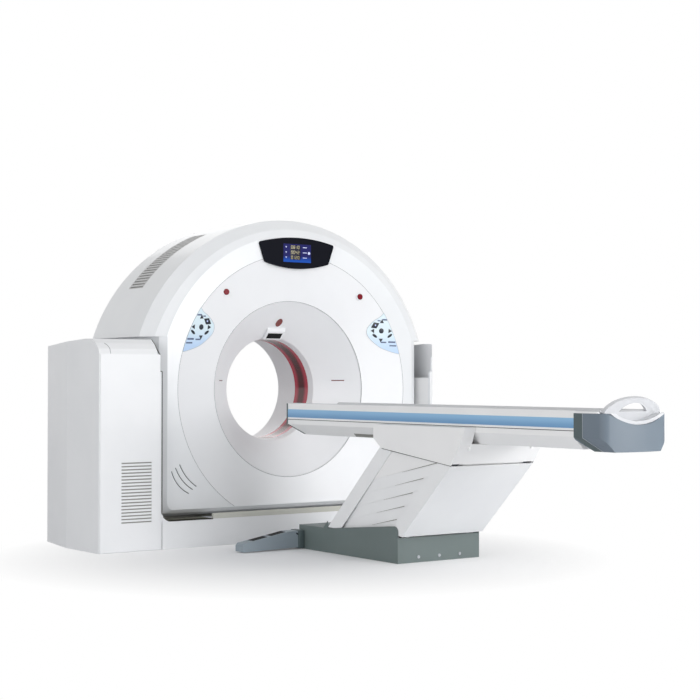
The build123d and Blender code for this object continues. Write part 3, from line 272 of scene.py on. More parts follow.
def skin_group() -> NodeTree:
    """Surface unevenness shared by the painted and moulded finishes.

    Returns:
        A node group with inputs Grain, Roughness, Spread and Dust, and outputs Tone, Roughness and Height.
    """
    name = "moulded_skin"
    if name in bpy.data.node_groups:
        return bpy.data.node_groups[name]
    kit, inside, outside = start_group(name, {"Grain": 400.0, "Roughness": 0.4, "Spread": 0.08, "Dust": 0.3})
    place = kit.add("ShaderNodeTexCoord")
    cloud = kit.add("ShaderNodeTexNoise", Scale=2.2, Detail=4.0, Roughness=0.55)
    grain = kit.add("ShaderNodeTexNoise", Detail=2.0, Roughness=0.5)
    smear = kit.add("ShaderNodeTexNoise", Scale=14.0, Detail=5.0, Roughness=0.6)
    for noise in (cloud, grain, smear):
        kit.join(place, "Object", noise, "Vector")
    kit.join(inside, "Grain", grain, "Scale")
    soft = kit.add("ShaderNodeMapRange", From_Min=0.35, From_Max=0.65)
    kit.join(cloud, "Fac", soft, "Value")
    tone = kit.add("ShaderNodeMath", operation="MULTIPLY")
    kit.join(soft, "Result", tone, 0)
    kit.join(inside, "Dust", tone, 1)
    kit.join(tone, "Value", outside, "Tone")
    swing_roughness(kit, inside, outside, smear)
    kit.join(grain, "Fac", outside, "Height")
    return kit.tree


def brush_group() -> NodeTree:
    """Fine parallel scratches shared by the metals.

    Returns:
        A node group with inputs Stretch, Roughness and Spread, and outputs Tone, Roughness and Height.
    """
    name = "brushed_grain"
    if name in bpy.data.node_groups:
        return bpy.data.node_groups[name]
    kit, inside, outside = start_group(name, {"Stretch": None, "Roughness": 0.35, "Spread": 0.2})
    place = kit.add("ShaderNodeTexCoord")
    stretch = kit.add("ShaderNodeVectorMath", operation="MULTIPLY")
    kit.join(place, "Object", stretch, 0)
    kit.join(inside, "Stretch", stretch, 1)
    lines = kit.add("ShaderNodeTexNoise", Scale=12.0, Detail=3.0, Roughness=0.6)
    kit.join(stretch, "Vector", lines, "Vector")
    swing_roughness(kit, inside, outside, lines)
    kit.join(lines, "Fac", outside, "Tone")
    kit.join(lines, "Fac", outside, "Height")
    return kit.tree


def empty_material(name: str) -> tuple[Material, Nodes, Node]:
    """A new material with a Principled BSDF.

    Args:
        name: The material's name.

    Returns:
        The material, its node kit and the Principled BSDF.
    """
    material = bpy.data.materials.new(name)
    material.use_nodes = True
    kit = Nodes(material.node_tree)
    return material, kit, material.node_tree.nodes["Principled BSDF"]


@dataclass(frozen=True)
class Moulded:
    """Painted, moulded or rubber surface.

    The dusty colour shows in soft clouds, and the grain is a fine bump, in metres.
    """

    name: str
    colour: Display
    dusty: Display
    roughness: float
    spread: float = 0.10
    grain: float = 500.0
    bump: float = 0.00004
    dust: float = 0.5
    coat: float = 0.0
    shine: float = 0.5
    bump_strength: float = 0.6
    coat_roughness: float = 0.12

    def make(self) -> Material:
        """Build the material."""
        material, kit, shader = empty_material(self.name)
        skin = kit.add("ShaderNodeGroup", node_tree=skin_group(), Grain=self.grain, Roughness=self.roughness,
                       Spread=self.spread, Dust=self.dust)
        kit.colour(shader, self.colour, self.dusty, skin, "Tone")
        kit.join(skin, "Roughness", shader, "Roughness")
        kit.bump(shader, skin, self.bump_strength, self.bump)
        shader.inputs["Specular IOR Level"].default_value = self.shine
        shader.inputs["Coat Weight"].default_value = self.coat
        shader.inputs["Coat Roughness"].default_value = self.coat_roughness
        return material


@dataclass(frozen=True)
class Metal:
    """Bare metal with a brushed or turned grain."""

    name: str
    colour: Display
    dark: Display
    direction: Direction
    roughness: float
    spread: float = 0.25
    bump: float = 0.00005
    bump_strength: float = 0.3

    def make(self) -> Material:
        """Build the material."""
        material, kit, shader = empty_material(self.name)
        grain = kit.add("ShaderNodeGroup", node_tree=brush_group(), Stretch=self.direction.value,
                        Roughness=self.roughness, Spread=self.spread)
        kit.colour(shader, self.dark, self.colour, grain, "Tone")
        kit.join(grain, "Roughness", shader, "Roughness")
        kit.bump(shader, grain, self.bump_strength, self.bump)
        shader.inputs["Metallic"].default_value = 1.0
        return material


@dataclass(frozen=True)
class Graded:
    """Plastic whose colour runs from one to another along an axis, between two places on it.

    A mirrored finish runs the same both ways from zero.
    """

    name: str
    low_colour: Display
    high_colour: Display
    axis: Axis
    low: float
    high: float
    roughness: float
    glow: float = 0.0
    mirrored: bool = False
    shine: float = 0.5
    spread: float = 0.08

    def make(self) -> Material:
        """Build the material."""
        material, kit, shader = empty_material(self.name)
        place = kit.add("ShaderNodeTexCoord")
        split = kit.add("ShaderNodeSeparateXYZ")
        kit.join(place, "Object", split, "Vector")
        ramp = kit.add("ShaderNodeMapRange", interpolation_type="SMOOTHSTEP", From_Min=self.low,
                       From_Max=self.high)
        if self.mirrored:
            distance = kit.add("ShaderNodeMath", operation="ABSOLUTE")
            kit.join(split, self.axis.value, distance, 0)
            kit.join(distance, "Value", ramp, "Value")
        else:
            kit.join(split, self.axis.value, ramp, "Value")
        mix = kit.colour(shader, self.low_colour, self.high_colour, ramp, "Result")
        skin = kit.add("ShaderNodeGroup", node_tree=skin_group(), Roughness=self.roughness,
                       Spread=self.spread)
        kit.join(skin, "Roughness", shader, "Roughness")
        shader.inputs["Specular IOR Level"].default_value = self.shine
        if self.glow:
            kit.join(mix, MIX_RESULT, shader, "Emission Color")
            shader.inputs["Emission Strength"].default_value = self.glow
        return material


@dataclass(frozen=True)
class Thin(Moulded):
    """Surface of a thin trim: less uneven than a cover's, with a shallower grain."""

    spread: float = 0.08
    grain: float = 600.0
    bump: float = 0.00003


FINISHES: dict[str, Moulded | Metal | Graded] = {finish.name: finish for finish in (
    Moulded("white_cover", (240, 242, 244), (233, 235, 238), 0.32, grain=350, bump=0.00003, dust=0.6,
            coat=0.25),
    Moulded("tower_white", (238, 239, 241), (230, 232, 234), 0.38, spread=0.12, grain=420, dust=0.6),
    Moulded("disc_white", (240, 241, 243), (234, 235, 238), 0.36, grain=380, bump=0.00003),
    Moulded("vent_grey", (214, 214, 214), (204, 204, 204), 0.55, grain=600, bump=0.00006, dust=0.6),
    Graded("scan_red", (84, 6, 18), (186, 52, 74), Axis.Y, 0.02, 0.06, 0.12, mirrored=True),
    Moulded("navy_black", (8, 10, 20), (12, 14, 26), 0.46, spread=0.05, grain=300, bump=0.00001, shine=0.06),
    Graded("screen_blue", (16, 70, 160), (24, 26, 84), Axis.Z, 1.758, 1.80, 0.40, glow=0.30, shine=0.1),
    Graded("panel_blue", (190, 215, 245), (222, 238, 246), Axis.Z, 1.20, 1.34, 0.30),
    Moulded("lamp_red", (124, 40, 34), (96, 28, 24), 0.18, spread=0.05, grain=300, bump=0.00001, coat=0.5),
    Moulded("button_red", (128, 2, 26), (108, 2, 22), 0.24, spread=0.04, grain=300, bump=0.00001, dust=0.4,
            shine=0.2),
    Moulded("smoked", (10, 10, 12), (16, 16, 20), 0.16, spread=0.04, grain=300, bump=0.00001, dust=0.4,
            shine=0.15),
    Moulded("frame_steel", (108, 114, 122), (92, 98, 106), 0.48, spread=0.12, bump=0.00008, dust=0.6),
    Metal("cast_drum", (206, 208, 211), (172, 174, 178), Direction.ROUND_Y, 0.38),
    Metal("tube_steel", (196, 198, 202), (150, 152, 157), Direction.ALONG_Y, 0.30),
    Moulded("module_grey", (168, 172, 178), (150, 154, 160), 0.45, spread=0.12, bump=0.00006, dust=0.6),
    Metal("ring_brass", (214, 176, 96), (168, 130, 62), Direction.ROUND_Y, 0.28),
    Moulded("belt_black", (28, 28, 30), (42, 42, 44), 0.72, grain=900, bump=0.00012, dust=0.6),
    Graded("strip_blue", (112, 160, 204), (150, 196, 232), Axis.Z, 0.777, 0.826, 0.34),
    Moulded("couch_white", (247, 247, 247), (241, 241, 242), 0.36, grain=400, dust=0.6, coat=0.15),
    Moulded("column_white", (245, 246, 247), (238, 239, 241), 0.42, spread=0.12, grain=450, bump=0.00005,
            dust=0.6),
    Moulded("skirt_green", (108, 120, 119), (98, 110, 109), 0.50, spread=0.12, grain=900, bump=0.00012,
            dust=0.6),
    Moulded("cap_grey", (114, 127, 139), (106, 118, 130), 0.48, grain=800, bump=0.00008, dust=0.6),
    Moulded("pedal_grey", (146, 158, 167), (134, 146, 155), 0.44, spread=0.12, grain=800, bump=0.0001,
            dust=0.6),
    Moulded("pedal_black", (10, 10, 12), (18, 19, 21), 0.62, grain=900, bump=0.00016, dust=0.6, shine=0.15),
    Moulded("cradle_white", (214, 215, 218), (205, 207, 210), 0.46, grain=700, bump=0.00006, dust=0.6),
    Thin("key_ink", (16, 26, 40), (26, 36, 50), 0.40, grain=800),
    Thin("mark_blue", (88, 104, 138), (76, 92, 126), 0.45, grain=800),
    Thin("rim_grey", (178, 184, 192), (166, 172, 180), 0.40, grain=700),
    Thin("seam_grey", (150, 153, 156), (138, 141, 144), 0.55),
    # painted shade: dark grey for groove floors and the line under the saddle's edge, standing in for the
    # shade there
    Thin("painted_shade_dark", (92, 94, 94), (80, 82, 82), 0.60, shine=0.2),
    # painted shadow: near black for the shadow gap along the left tower's inner edge and the plinth's top
    Thin("painted_gap_shadow", (40, 40, 36), (52, 52, 46), 0.65, grain=800, bump=0.00004, shine=0.2),
    # painted shade: grey for the slit floors, the flat on the table's sloping side and the tapered shadows
    # under the column's plates
    Thin("painted_shade_grey", (150, 150, 144), (138, 138, 132), 0.60),
    Thin("mat_grey", (184, 184, 182), (172, 172, 170), 0.60, shine=0.2),
    # painted shade: olive grey darker than the whites, for the plinth's raised front edge and the chin under
    # the housing
    Thin("ledge_painted_shade", (206, 206, 198), (192, 192, 184), 0.80, shine=0.0),
    Graded("recess_shade", (20, 20, 16), (150, 150, 138), Axis.Y, -0.5165, -0.40, 0.9, shine=0.0),
    Moulded("collar_green", (84, 98, 100), (72, 86, 88), 0.46, grain=800, bump=0.00008, dust=0.6),
    Moulded("screen_dark", (24, 24, 48), (30, 30, 56), 0.30, spread=0.05, bump=0.00001, dust=0.4, shine=0.2),
    Graded("digit_cream", (176, 166, 116), (196, 188, 150), Axis.Z, 1.76, 1.87, 0.40, glow=0.35),
    Graded("mark_white", (170, 180, 220), (190, 196, 226), Axis.Z, 1.76, 1.87, 0.40, glow=0.4),
)}


class Palette:
    """Builds each finish once, on first use."""

    def __init__(self) -> None:
        """Start with no material built."""
        self.built: dict[str, Material] = {}

    def dress(self, piece: Object, finish: str) -> None:
        """Give the whole piece one finish, by the finish's name.

        Args:
            piece: The piece.
            finish: Name of its finish.
        """
        if finish not in self.built:
            self.built[finish] = FINISHES[finish].make()
        piece.data.materials.clear()
        piece.data.materials.append(self.built[finish])

    def fit(self, piece: Object, finish: str, body: str) -> None:
        """Dress a finished piece and set it on its body.

        Args:
            piece: The finished piece.
            finish: Name of its finish.
            body: The CAD body that it rides on.
        """
        self.dress(piece, finish)
        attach(piece, body)
        LOG.info("made %s", piece.name)


class Bench:
    """Modelling steps that several sub-assemblies share."""

    BEVEL_SHARE = 0.3

    @staticmethod
    def clear() -> None:
        """Leave edit mode and deselect everything."""
        if bpy.context.mode != "OBJECT":
            bpy.ops.object.mode_set(mode="OBJECT")
        bpy.ops.object.select_all(action="DESELECT")

    @staticmethod
    def pick(piece: Object) -> None:
        """Select this piece alone and make it the active one.

        Args:
            piece: The piece.
        """
        Bench.clear()
        piece.select_set(True)
        bpy.context.view_layer.objects.active = piece

    @staticmethod
    def settle(piece: Object) -> None:
        """Move the object's place, turn and scale into its mesh."""
        Bench.pick(piece)
        bpy.ops.object.transform_apply(location=True, rotation=True, scale=True)

    @staticmethod
    def bevel(piece: Object, width: float) -> None:
        """Round every sharp edge of the piece by two narrow faces.

        Args:
            piece: The piece.
            width: How far from the edge the rounding starts, on either side.
        """
        Bench.pick(piece)
        step = piece.modifiers.new("rounding", "BEVEL")
        step.width = width
        step.segments = 2
        step.limit_method = "ANGLE"
        bpy.ops.object.modifier_apply(modifier=step.name)

    @staticmethod
    def finish(piece: Object, name: str, sharp: float) -> Object:
        """Name the selected piece and shade it smooth.

        Args:
            piece: The piece, which is the only selected one.
            name: Name of the object and of its mesh.
            sharp: Angle in degrees from which an edge stays sharp.

        Returns:
            The same piece.
        """
        piece.name = name
        piece.data.name = name
        bpy.ops.object.shade_smooth_by_angle(angle=math.radians(sharp))
        return piece

    @staticmethod
    def join(pieces: list[Object], name: str) -> Object:
        """Join pieces into one object.

        Args:
            pieces: The objects, all settled.
            name: The joined object's name.

        Returns:
            The joined object, smooth by angle.
        """
        Bench.pick(pieces[0])
        for piece in pieces[1:]:
            piece.select_set(True)
        if len(pieces) > 1:
            bpy.ops.object.join()
        Bench.settle(pieces[0])
        return Bench.finish(pieces[0], name, 35)

    @staticmethod
    def plug(sides: int, radius: float, depth: float, place: Matrix, stretch: Pair = (1.0, 1.0),
             turn: float = 0.0) -> Object:
        """A flat key: a low prism on a surface.

        Args:
            sides: Number of sides of its outline.
            radius: Radius of the outline's circle.
            depth: Height above the surface.
            place: Frame of the surface, with its Z axis outwards.
            stretch: Factors on the outline's two directions.
            turn: Turn of the outline about the surface's normal, in radians.

        Returns:
            The key, settled.
        """
        Bench.clear()
        bpy.ops.mesh.primitive_cylinder_add(vertices=sides, radius=radius, depth=depth)
        key = bpy.context.active_object
        spin = Matrix.Rotation(turn, 4, "Z")
        size = Matrix.Diagonal((*stretch, 1.0, 1.0))
        key.matrix_world = place @ Matrix.Translation((0, 0, depth / 2)) @ spin @ size
        Bench.settle(key)
        Bench.bevel(key, depth * Bench.BEVEL_SHARE)
        return key

    @staticmethod
    def bar(width: float, height: float, depth: float, place: Matrix, turn: float = 0.0) -> Object:
        """A flat bar with rounded edges on a surface.

        Args:
            width: Size along the surface's first direction.
            height: Size along its second direction.
            depth: Height above the surface.
            place: Frame of the surface, with its Z axis outwards.
            turn: Turn about the surface's normal, in radians.

        Returns:
            The bar, settled.
        """
        Bench.clear()
        bpy.ops.mesh.primitive_cube_add(size=1)
        piece = bpy.context.active_object
        spin = Matrix.Rotation(turn, 4, "Z")
        size = Matrix.Diagonal((width, height, depth, 1.0))
        piece.matrix_world = place @ Matrix.Translation((0, 0, depth / 2)) @ spin @ size
        Bench.settle(piece)
        Bench.bevel(piece, min(width, height, depth) * Bench.BEVEL_SHARE)
        return piece

    @staticmethod
    def copies(piece: Object, step: Vector, count: int) -> list[Object]:
        """Copy a finished piece in a row, each copy with its own mesh.

        Args:
            piece: The settled piece that starts the row.
            step: From one copy to the next.
            count: Number of pieces in the row, the first among them.

        Returns:
            The whole row, settled.
        """
        row = [piece]
        for _ in range(count - 1):
            Bench.pick(row[-1])
            bpy.ops.object.duplicate_move(TRANSFORM_OT_translate={"value": step})
            row.append(bpy.context.active_object)
            Bench.settle(row[-1])
        return row

    @staticmethod
    def prism(outline: list[Vector], push: Vector, name: str, rounding: float = 0.0) -> Object:
        """A flat outline extruded along a vector.

        Args:
            outline: Corners of the outline in order.
            push: From the outline to the other end.
            name: The piece's name.
            rounding: Width of the bevel on its edges.

        Returns:
            The closed piece, smooth by angle.
        """
        Bench.clear()
        bpy.ops.mesh.primitive_circle_add(vertices=len(outline), radius=1, fill_type="NGON")
        piece = bpy.context.active_object
        for vertex, place in zip(piece.data.vertices, outline):
            vertex.co = place
        bpy.ops.object.mode_set(mode="EDIT")
        bpy.ops.mesh.select_all(action="SELECT")
        bpy.ops.mesh.extrude_region_move(TRANSFORM_OT_translate={"value": push})
        bpy.ops.mesh.select_all(action="SELECT")
        bpy.ops.mesh.normals_make_consistent(inside=False)
        bpy.ops.object.mode_set(mode="OBJECT")
        if rounding:
            Bench.bevel(piece, rounding)
        return Bench.finish(piece, name, 30)

    @staticmethod
    def box(x: Pair, y: Pair, z: Pair, name: str, rounding: float = 0.0) -> Object:
        """A box between two places on each axis.

        Args:
            x: Its lowest and highest X.
            y: Its lowest and highest Y.
            z: Its lowest and highest Z.
            name: The piece's name.
            rounding: Width of the bevel on its edges.

        Returns:
            The closed piece.
        """
        outline = side_points(x[0], ((y[0], z[0]), (y[1], z[0]), (y[1], z[1]), (y[0], z[1])))
        return Bench.prism(outline, Vector((x[1] - x[0], 0, 0)), name, rounding)

    @staticmethod
    def twins(outline: list[Vector], push: Vector) -> list[Object]:
        """A prism right of the scanner's middle and its mirror image on the left.

        Args:
            outline: Corners of the right one's outline in order.
            push: From its outline to its other end.

        Returns:
            The left prism and the right one.
        """
        flips = (Matrix.Diagonal((-1.0, 1.0, 1.0)), Matrix.Identity(3))
        return [Bench.prism([flip @ place for place in outline], flip @ push, "twin") for flip in flips]

    @staticmethod
    def patch(steps: tuple[int, int], place: Callable[[float, float], Vector], outward: Vector, thick: float,
              name: str) -> Object:
        """A thin plate that follows a curved surface.

        Args:
            steps: Number of faces in its two directions.
            place: Point of the surface for two shares from 0 to 1.
            outward: Rough direction of its outer side.
            thick: Its wall, which grows inwards.
            name: The piece's name.

        Returns:
            The closed piece, smooth by angle.
        """
        Bench.clear()
        bpy.ops.mesh.primitive_grid_add(x_subdivisions=steps[0], y_subdivisions=steps[1], size=2)
        piece = bpy.context.active_object
        for vertex in piece.data.vertices:
            vertex.co = place((vertex.co.x + 1) / 2, (vertex.co.y + 1) / 2)
        bpy.ops.object.mode_set(mode="EDIT")
        bpy.ops.mesh.select_all(action="SELECT")
        bpy.ops.mesh.remove_doubles(threshold=0.00002)
        bpy.ops.object.mode_set(mode="OBJECT")
        facing = sum((face.normal * face.area for face in piece.data.polygons), Vector())
        if facing.dot(outward) < 0:
            bpy.ops.object.mode_set(mode="EDIT")
            bpy.ops.mesh.select_all(action="SELECT")
            bpy.ops.mesh.flip_normals()
            bpy.ops.object.mode_set(mode="OBJECT")
        wall = piece.modifiers.new("wall", "SOLIDIFY")
        wall.thickness = thick
        wall.offset = -1
        bpy.ops.object.modifier_apply(modifier=wall.name)
        return Bench.finish(piece, name, 40)

    @staticmethod
    def bead(places: list[Vector], radius: float, name: str, closed: bool = True) -> Object:
        """A thin round bead along a line.

        Args:
            places: Places along the line.
            radius: The bead's radius.
            name: The piece's name.
            closed: Whether the line returns to its start.

        Returns:
            The bead as a mesh, smooth.
        """
        curve = bpy.data.curves.new(name, "CURVE")
        curve.dimensions = "3D"
        curve.bevel_depth = radius
        curve.bevel_resolution = 2
        line = curve.splines.new("POLY")
        line.points.add(len(places) - 1)
        for point, place in zip(line.points, places):
            point.co = (*place, 1.0)
        line.use_cyclic_u = closed
        piece = bpy.data.objects.new(name, curve)
        bpy.context.scene.collection.objects.link(piece)
        Bench.pick(piece)
        bpy.ops.object.convert(target="MESH")
        return Bench.finish(bpy.context.active_object, name, 50)


def disc_place(x: float, z: float, lift: float) -> Matrix:
    """Frame on the conical front disc, with Z outwards and Y up the disc.

    Args:
        x: Place across the scanner.
        z: Height above the floor.
        lift: Distance above the disc's surface.

    Returns:
        The frame at that place.
    """
    radius = math.hypot(x, z - ISO_Z)
    slope = (DISC_OUT_Y - DISC_IN_Y) / (DISC_OUT_R - DISC_IN_R)
    y = DISC_IN_Y + slope * (radius - DISC_IN_R)
    outward = Vector((slope * x / radius, -1.0, slope * (z - ISO_Z) / radius)).normalized()
    across = Vector((1.0, 0.0, 0.0))
    across = (across - outward * across.dot(outward)).normalized()
    upward = outward.cross(across)
    turn = Matrix((across, upward, outward)).transposed().to_4x4()
    return Matrix.Translation(Vector((x, y, z)) + outward * lift) @ turn


def upright_place(x: float, y: float, z: float) -> Matrix:
    """Frame on an upright face, with Z towards the couch and Y up."""
    return Matrix.Translation((x, y, z)) @ Matrix.Rotation(math.pi / 2, 4, "X")


@dataclass
class ControlPanel:
    """Membrane, keys, marks and rim of one control panel. Places are measured outwards from the bore."""

    side: int
    label: str
    cross_x: float = 0.685
    cross_z: float = 1.331
    arrow_reach: float = 0.060
    arrow_radius: float = 0.017
    centre_radius: float = 0.017
    slant_radius: float = 0.020
    slant_stretch: Pair = (1.0, 0.42)
    slant_keys: Triples = ((0.748, 1.299, -0.66), (0.640, 1.298, 0.58))
    diamond_place: Pair = (0.638, 1.367)
    diamond_radius: float = 0.034
    diamond_stretch: Pair = (1.0, 0.66)
    diamond_turn: float = 0.5
    spot_place: Pair = (0.640, 1.368)
    spot_radius: float = 0.0055
    key_depth: float = 0.0016
    mark_depth: float = 0.0006
    mark_bars: tuple[tuple[Pair, Pair], ...] = (
        ((0.765, 1.257), (0.052, 0.011)), ((0.706, 1.255), (0.040, 0.009)), ((0.774, 1.233), (0.050, 0.009)),
        ((0.704, 1.405), (0.034, 0.010)), ((0.664, 1.398), (0.022, 0.008)))
    outer_arc: Pairs = ((0.6945, 1.449), (0.776, 1.304), (0.821, 1.1775))
    inner_line: Pairs = ((0.6945, 1.449), (0.672, 1.425), (0.631, 1.3995), (0.5966, 1.366), (0.582, 1.339),
                         (0.586, 1.304), (0.615, 1.2697), (0.684, 1.2206), (0.762, 1.192), (0.821, 1.1775))
    steps: tuple[int, int] = (48, 10)
    wall: float = 0.003
    rim_radius: float = 0.0014
    rim_sink: float = 0.0006

    def at(self, out: float, z: float) -> Matrix:
        """Frame on the panel's face."""
        return disc_place(self.side * out, z, PANEL_PLATE)

    def keys(self) -> list[Object]:
        """The arrows, the centre key, the slanted keys and the diamond key.

        Returns:
            The keys, settled.
        """
        made = [Bench.plug(24, self.centre_radius, self.key_depth, self.at(self.cross_x, self.cross_z))]
        for quarter in range(4):
            angle = quarter * math.pi / 2
            place = self.at(self.cross_x + self.side * self.arrow_reach * math.cos(angle),
                            self.cross_z + self.arrow_reach * math.sin(angle))
            made.append(Bench.plug(3, self.arrow_radius, self.key_depth, place, turn=angle - math.pi / 2))
        for out, z, turn in self.slant_keys:
            place = self.at(out, z)
            made.append(Bench.plug(20, self.slant_radius, self.key_depth, place, self.slant_stretch,
                                   -self.side * turn))
        place = self.at(*self.diamond_place)
        made.append(Bench.plug(4, self.diamond_radius, self.key_depth, place, self.diamond_stretch,
                               self.side * self.diamond_turn))
        return made

    def marks(self) -> list[Object]:
        """Short plain bars beside the keys."""
        return [Bench.bar(*size, self.mark_depth, self.at(*place)) for place, size in self.mark_bars]

    def edges(self) -> tuple[list[Pair], list[Pair]]:
        """Points along the panel's outer and inner edges, from its top tip to its bottom tip."""
        return arc_points(*self.outer_arc, self.steps[0]), smooth_line(self.inner_line, self.steps[0])

    def rim(self) -> list[Vector]:
        """Points round the panel's outline.

        Returns:
            Places along it, just under the panel's face.
        """
        outer, inner = self.edges()
        places = [self.at(out, z) for out, z in outer + inner[-2:0:-1]]
        return [place.translation - place.to_3x3().col[2] * self.rim_sink for place in places]

    def membrane(self) -> Object:
        """The leaf-shaped plate between the two edges.

        Returns:
            The plate.
        """
        outer, inner = self.edges()

        def place(down: float, inwards: float) -> Vector:
            """Point of the membrane's face.

            Args:
                down: Share of the way from the top tip to the bottom tip.
                inwards: Share of the way from the outer edge to the inner one.

            Returns:
                The point.
            """
            step = round(down * self.steps[0])
            (ax, az), (bx, bz) = outer[step], inner[step]
            return self.at(ax + (bx - ax) * inwards, az + (bz - az) * inwards).translation

        return Bench.patch(self.steps, place, Vector((0, -1, 0)), self.wall, f"{self.label}_panel_membrane")

    def build(self, palette: Palette) -> None:
        """Make and dress the panel's pieces on the gantry.

        Args:
            palette: The finishes.
        """
        name = f"{self.label}_panel"
        spot = Bench.plug(16, self.spot_radius, self.key_depth + self.mark_depth, self.at(*self.spot_place))
        membrane = self.membrane()
        palette.fit(membrane, "panel_blue", "gantry")
        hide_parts(f"control_panel_{self.label}")
        for piece, finish in ((Bench.join(self.keys(), f"{name}_keys"), "key_ink"),
                              (Bench.join(self.marks(), f"{name}_marks"), "mark_blue"),
                              (Bench.join([spot], f"{name}_key_spot"), "mark_white"),
                              (Bench.bead(self.rim(), self.rim_radius, f"{name}_rim"), "rim_grey")):
            palette.fit(piece, finish, "gantry")


@dataclass
class Readout:
    """Plain numbers and marks on the display."""

    rows: tuple[tuple[str, float], ...] = (("0810", 1.851), ("9042", 1.818), ("0120", 1.785))
    digit_width: float = 0.010
    digit_height: float = 0.018
    digit_pitch: float = 0.0165
    first_x: float = -0.040
    stroke: float = 0.0019
    depth: float = 0.0008
    arrow_x: float = -0.084
    arrow_stretch: Pair = (0.7, 0.8)
    bar_x: float = 0.058
    bar_size: Pair = (0.030, 0.0045)
    dot_place: Pair = (0.090, 1.816)
    mark_radius: float = 0.009
    ground_place: Pair = (-0.014, 1.8175)
    ground_size: Triple = (0.078, 0.092, 0.0004)
    segments: dict[str, str] = field(default_factory=lambda: {
        "0": "abcdef", "1": "bc", "2": "abged", "4": "fgbc", "8": "abcdefg", "9": "abcfgd"})

    def at(self, x: float, z: float) -> Matrix:
        """Frame on the screen's face."""
        return upright_place(x, SCREEN_FRONT_Y, z)

    def digit(self, mark: str, x: float, z: float) -> list[Object]:
        """Bars of one seven-bar digit.

        Args:
            mark: The digit.
            x: Place of its middle across the scanner.
            z: Height of its middle.

        Returns:
            The bars.
        """
        w, h = self.digit_width / 2, self.digit_height / 2
        bars = {"a": (0, h, 1), "g": (0, 0, 1), "d": (0, -h, 1), "f": (-w, h / 2, 0), "b": (w, h / 2, 0),
                "e": (-w, -h / 2, 0), "c": (w, -h / 2, 0)}
        made = []
        for letter in self.segments[mark]:
            dx, dz, flat = bars[letter]
            width, height = (2 * w, self.stroke) if flat else (self.stroke, h)
            made.append(Bench.bar(width, height, self.depth, self.at(x + dx, z + dz)))
        return made

    def build(self, palette: Palette) -> None:
        """Make and dress the numbers and the marks beside them.

        Args:
            palette: The finishes.
        """
        digits, marks = [], []
        for text, z in self.rows:
            for place, mark in enumerate(text):
                digits += self.digit(mark, self.first_x + place * self.digit_pitch, z)
            marks.append(Bench.plug(3, self.mark_radius, self.depth, self.at(self.arrow_x, z),
                                    self.arrow_stretch, math.pi))
            marks.append(Bench.bar(*self.bar_size, self.depth, self.at(self.bar_x, z)))
        marks.append(Bench.plug(20, self.mark_radius, self.depth, self.at(*self.dot_place)))
        ground = Bench.bar(*self.ground_size, self.at(*self.ground_place))
        for pieces, name, finish in (([ground], "display_ground", "screen_dark"),
                                     (digits, "display_digits", "digit_cream"),
                                     (marks, "display_marks", "mark_white")):
            palette.fit(Bench.join(pieces, name), finish, "gantry")


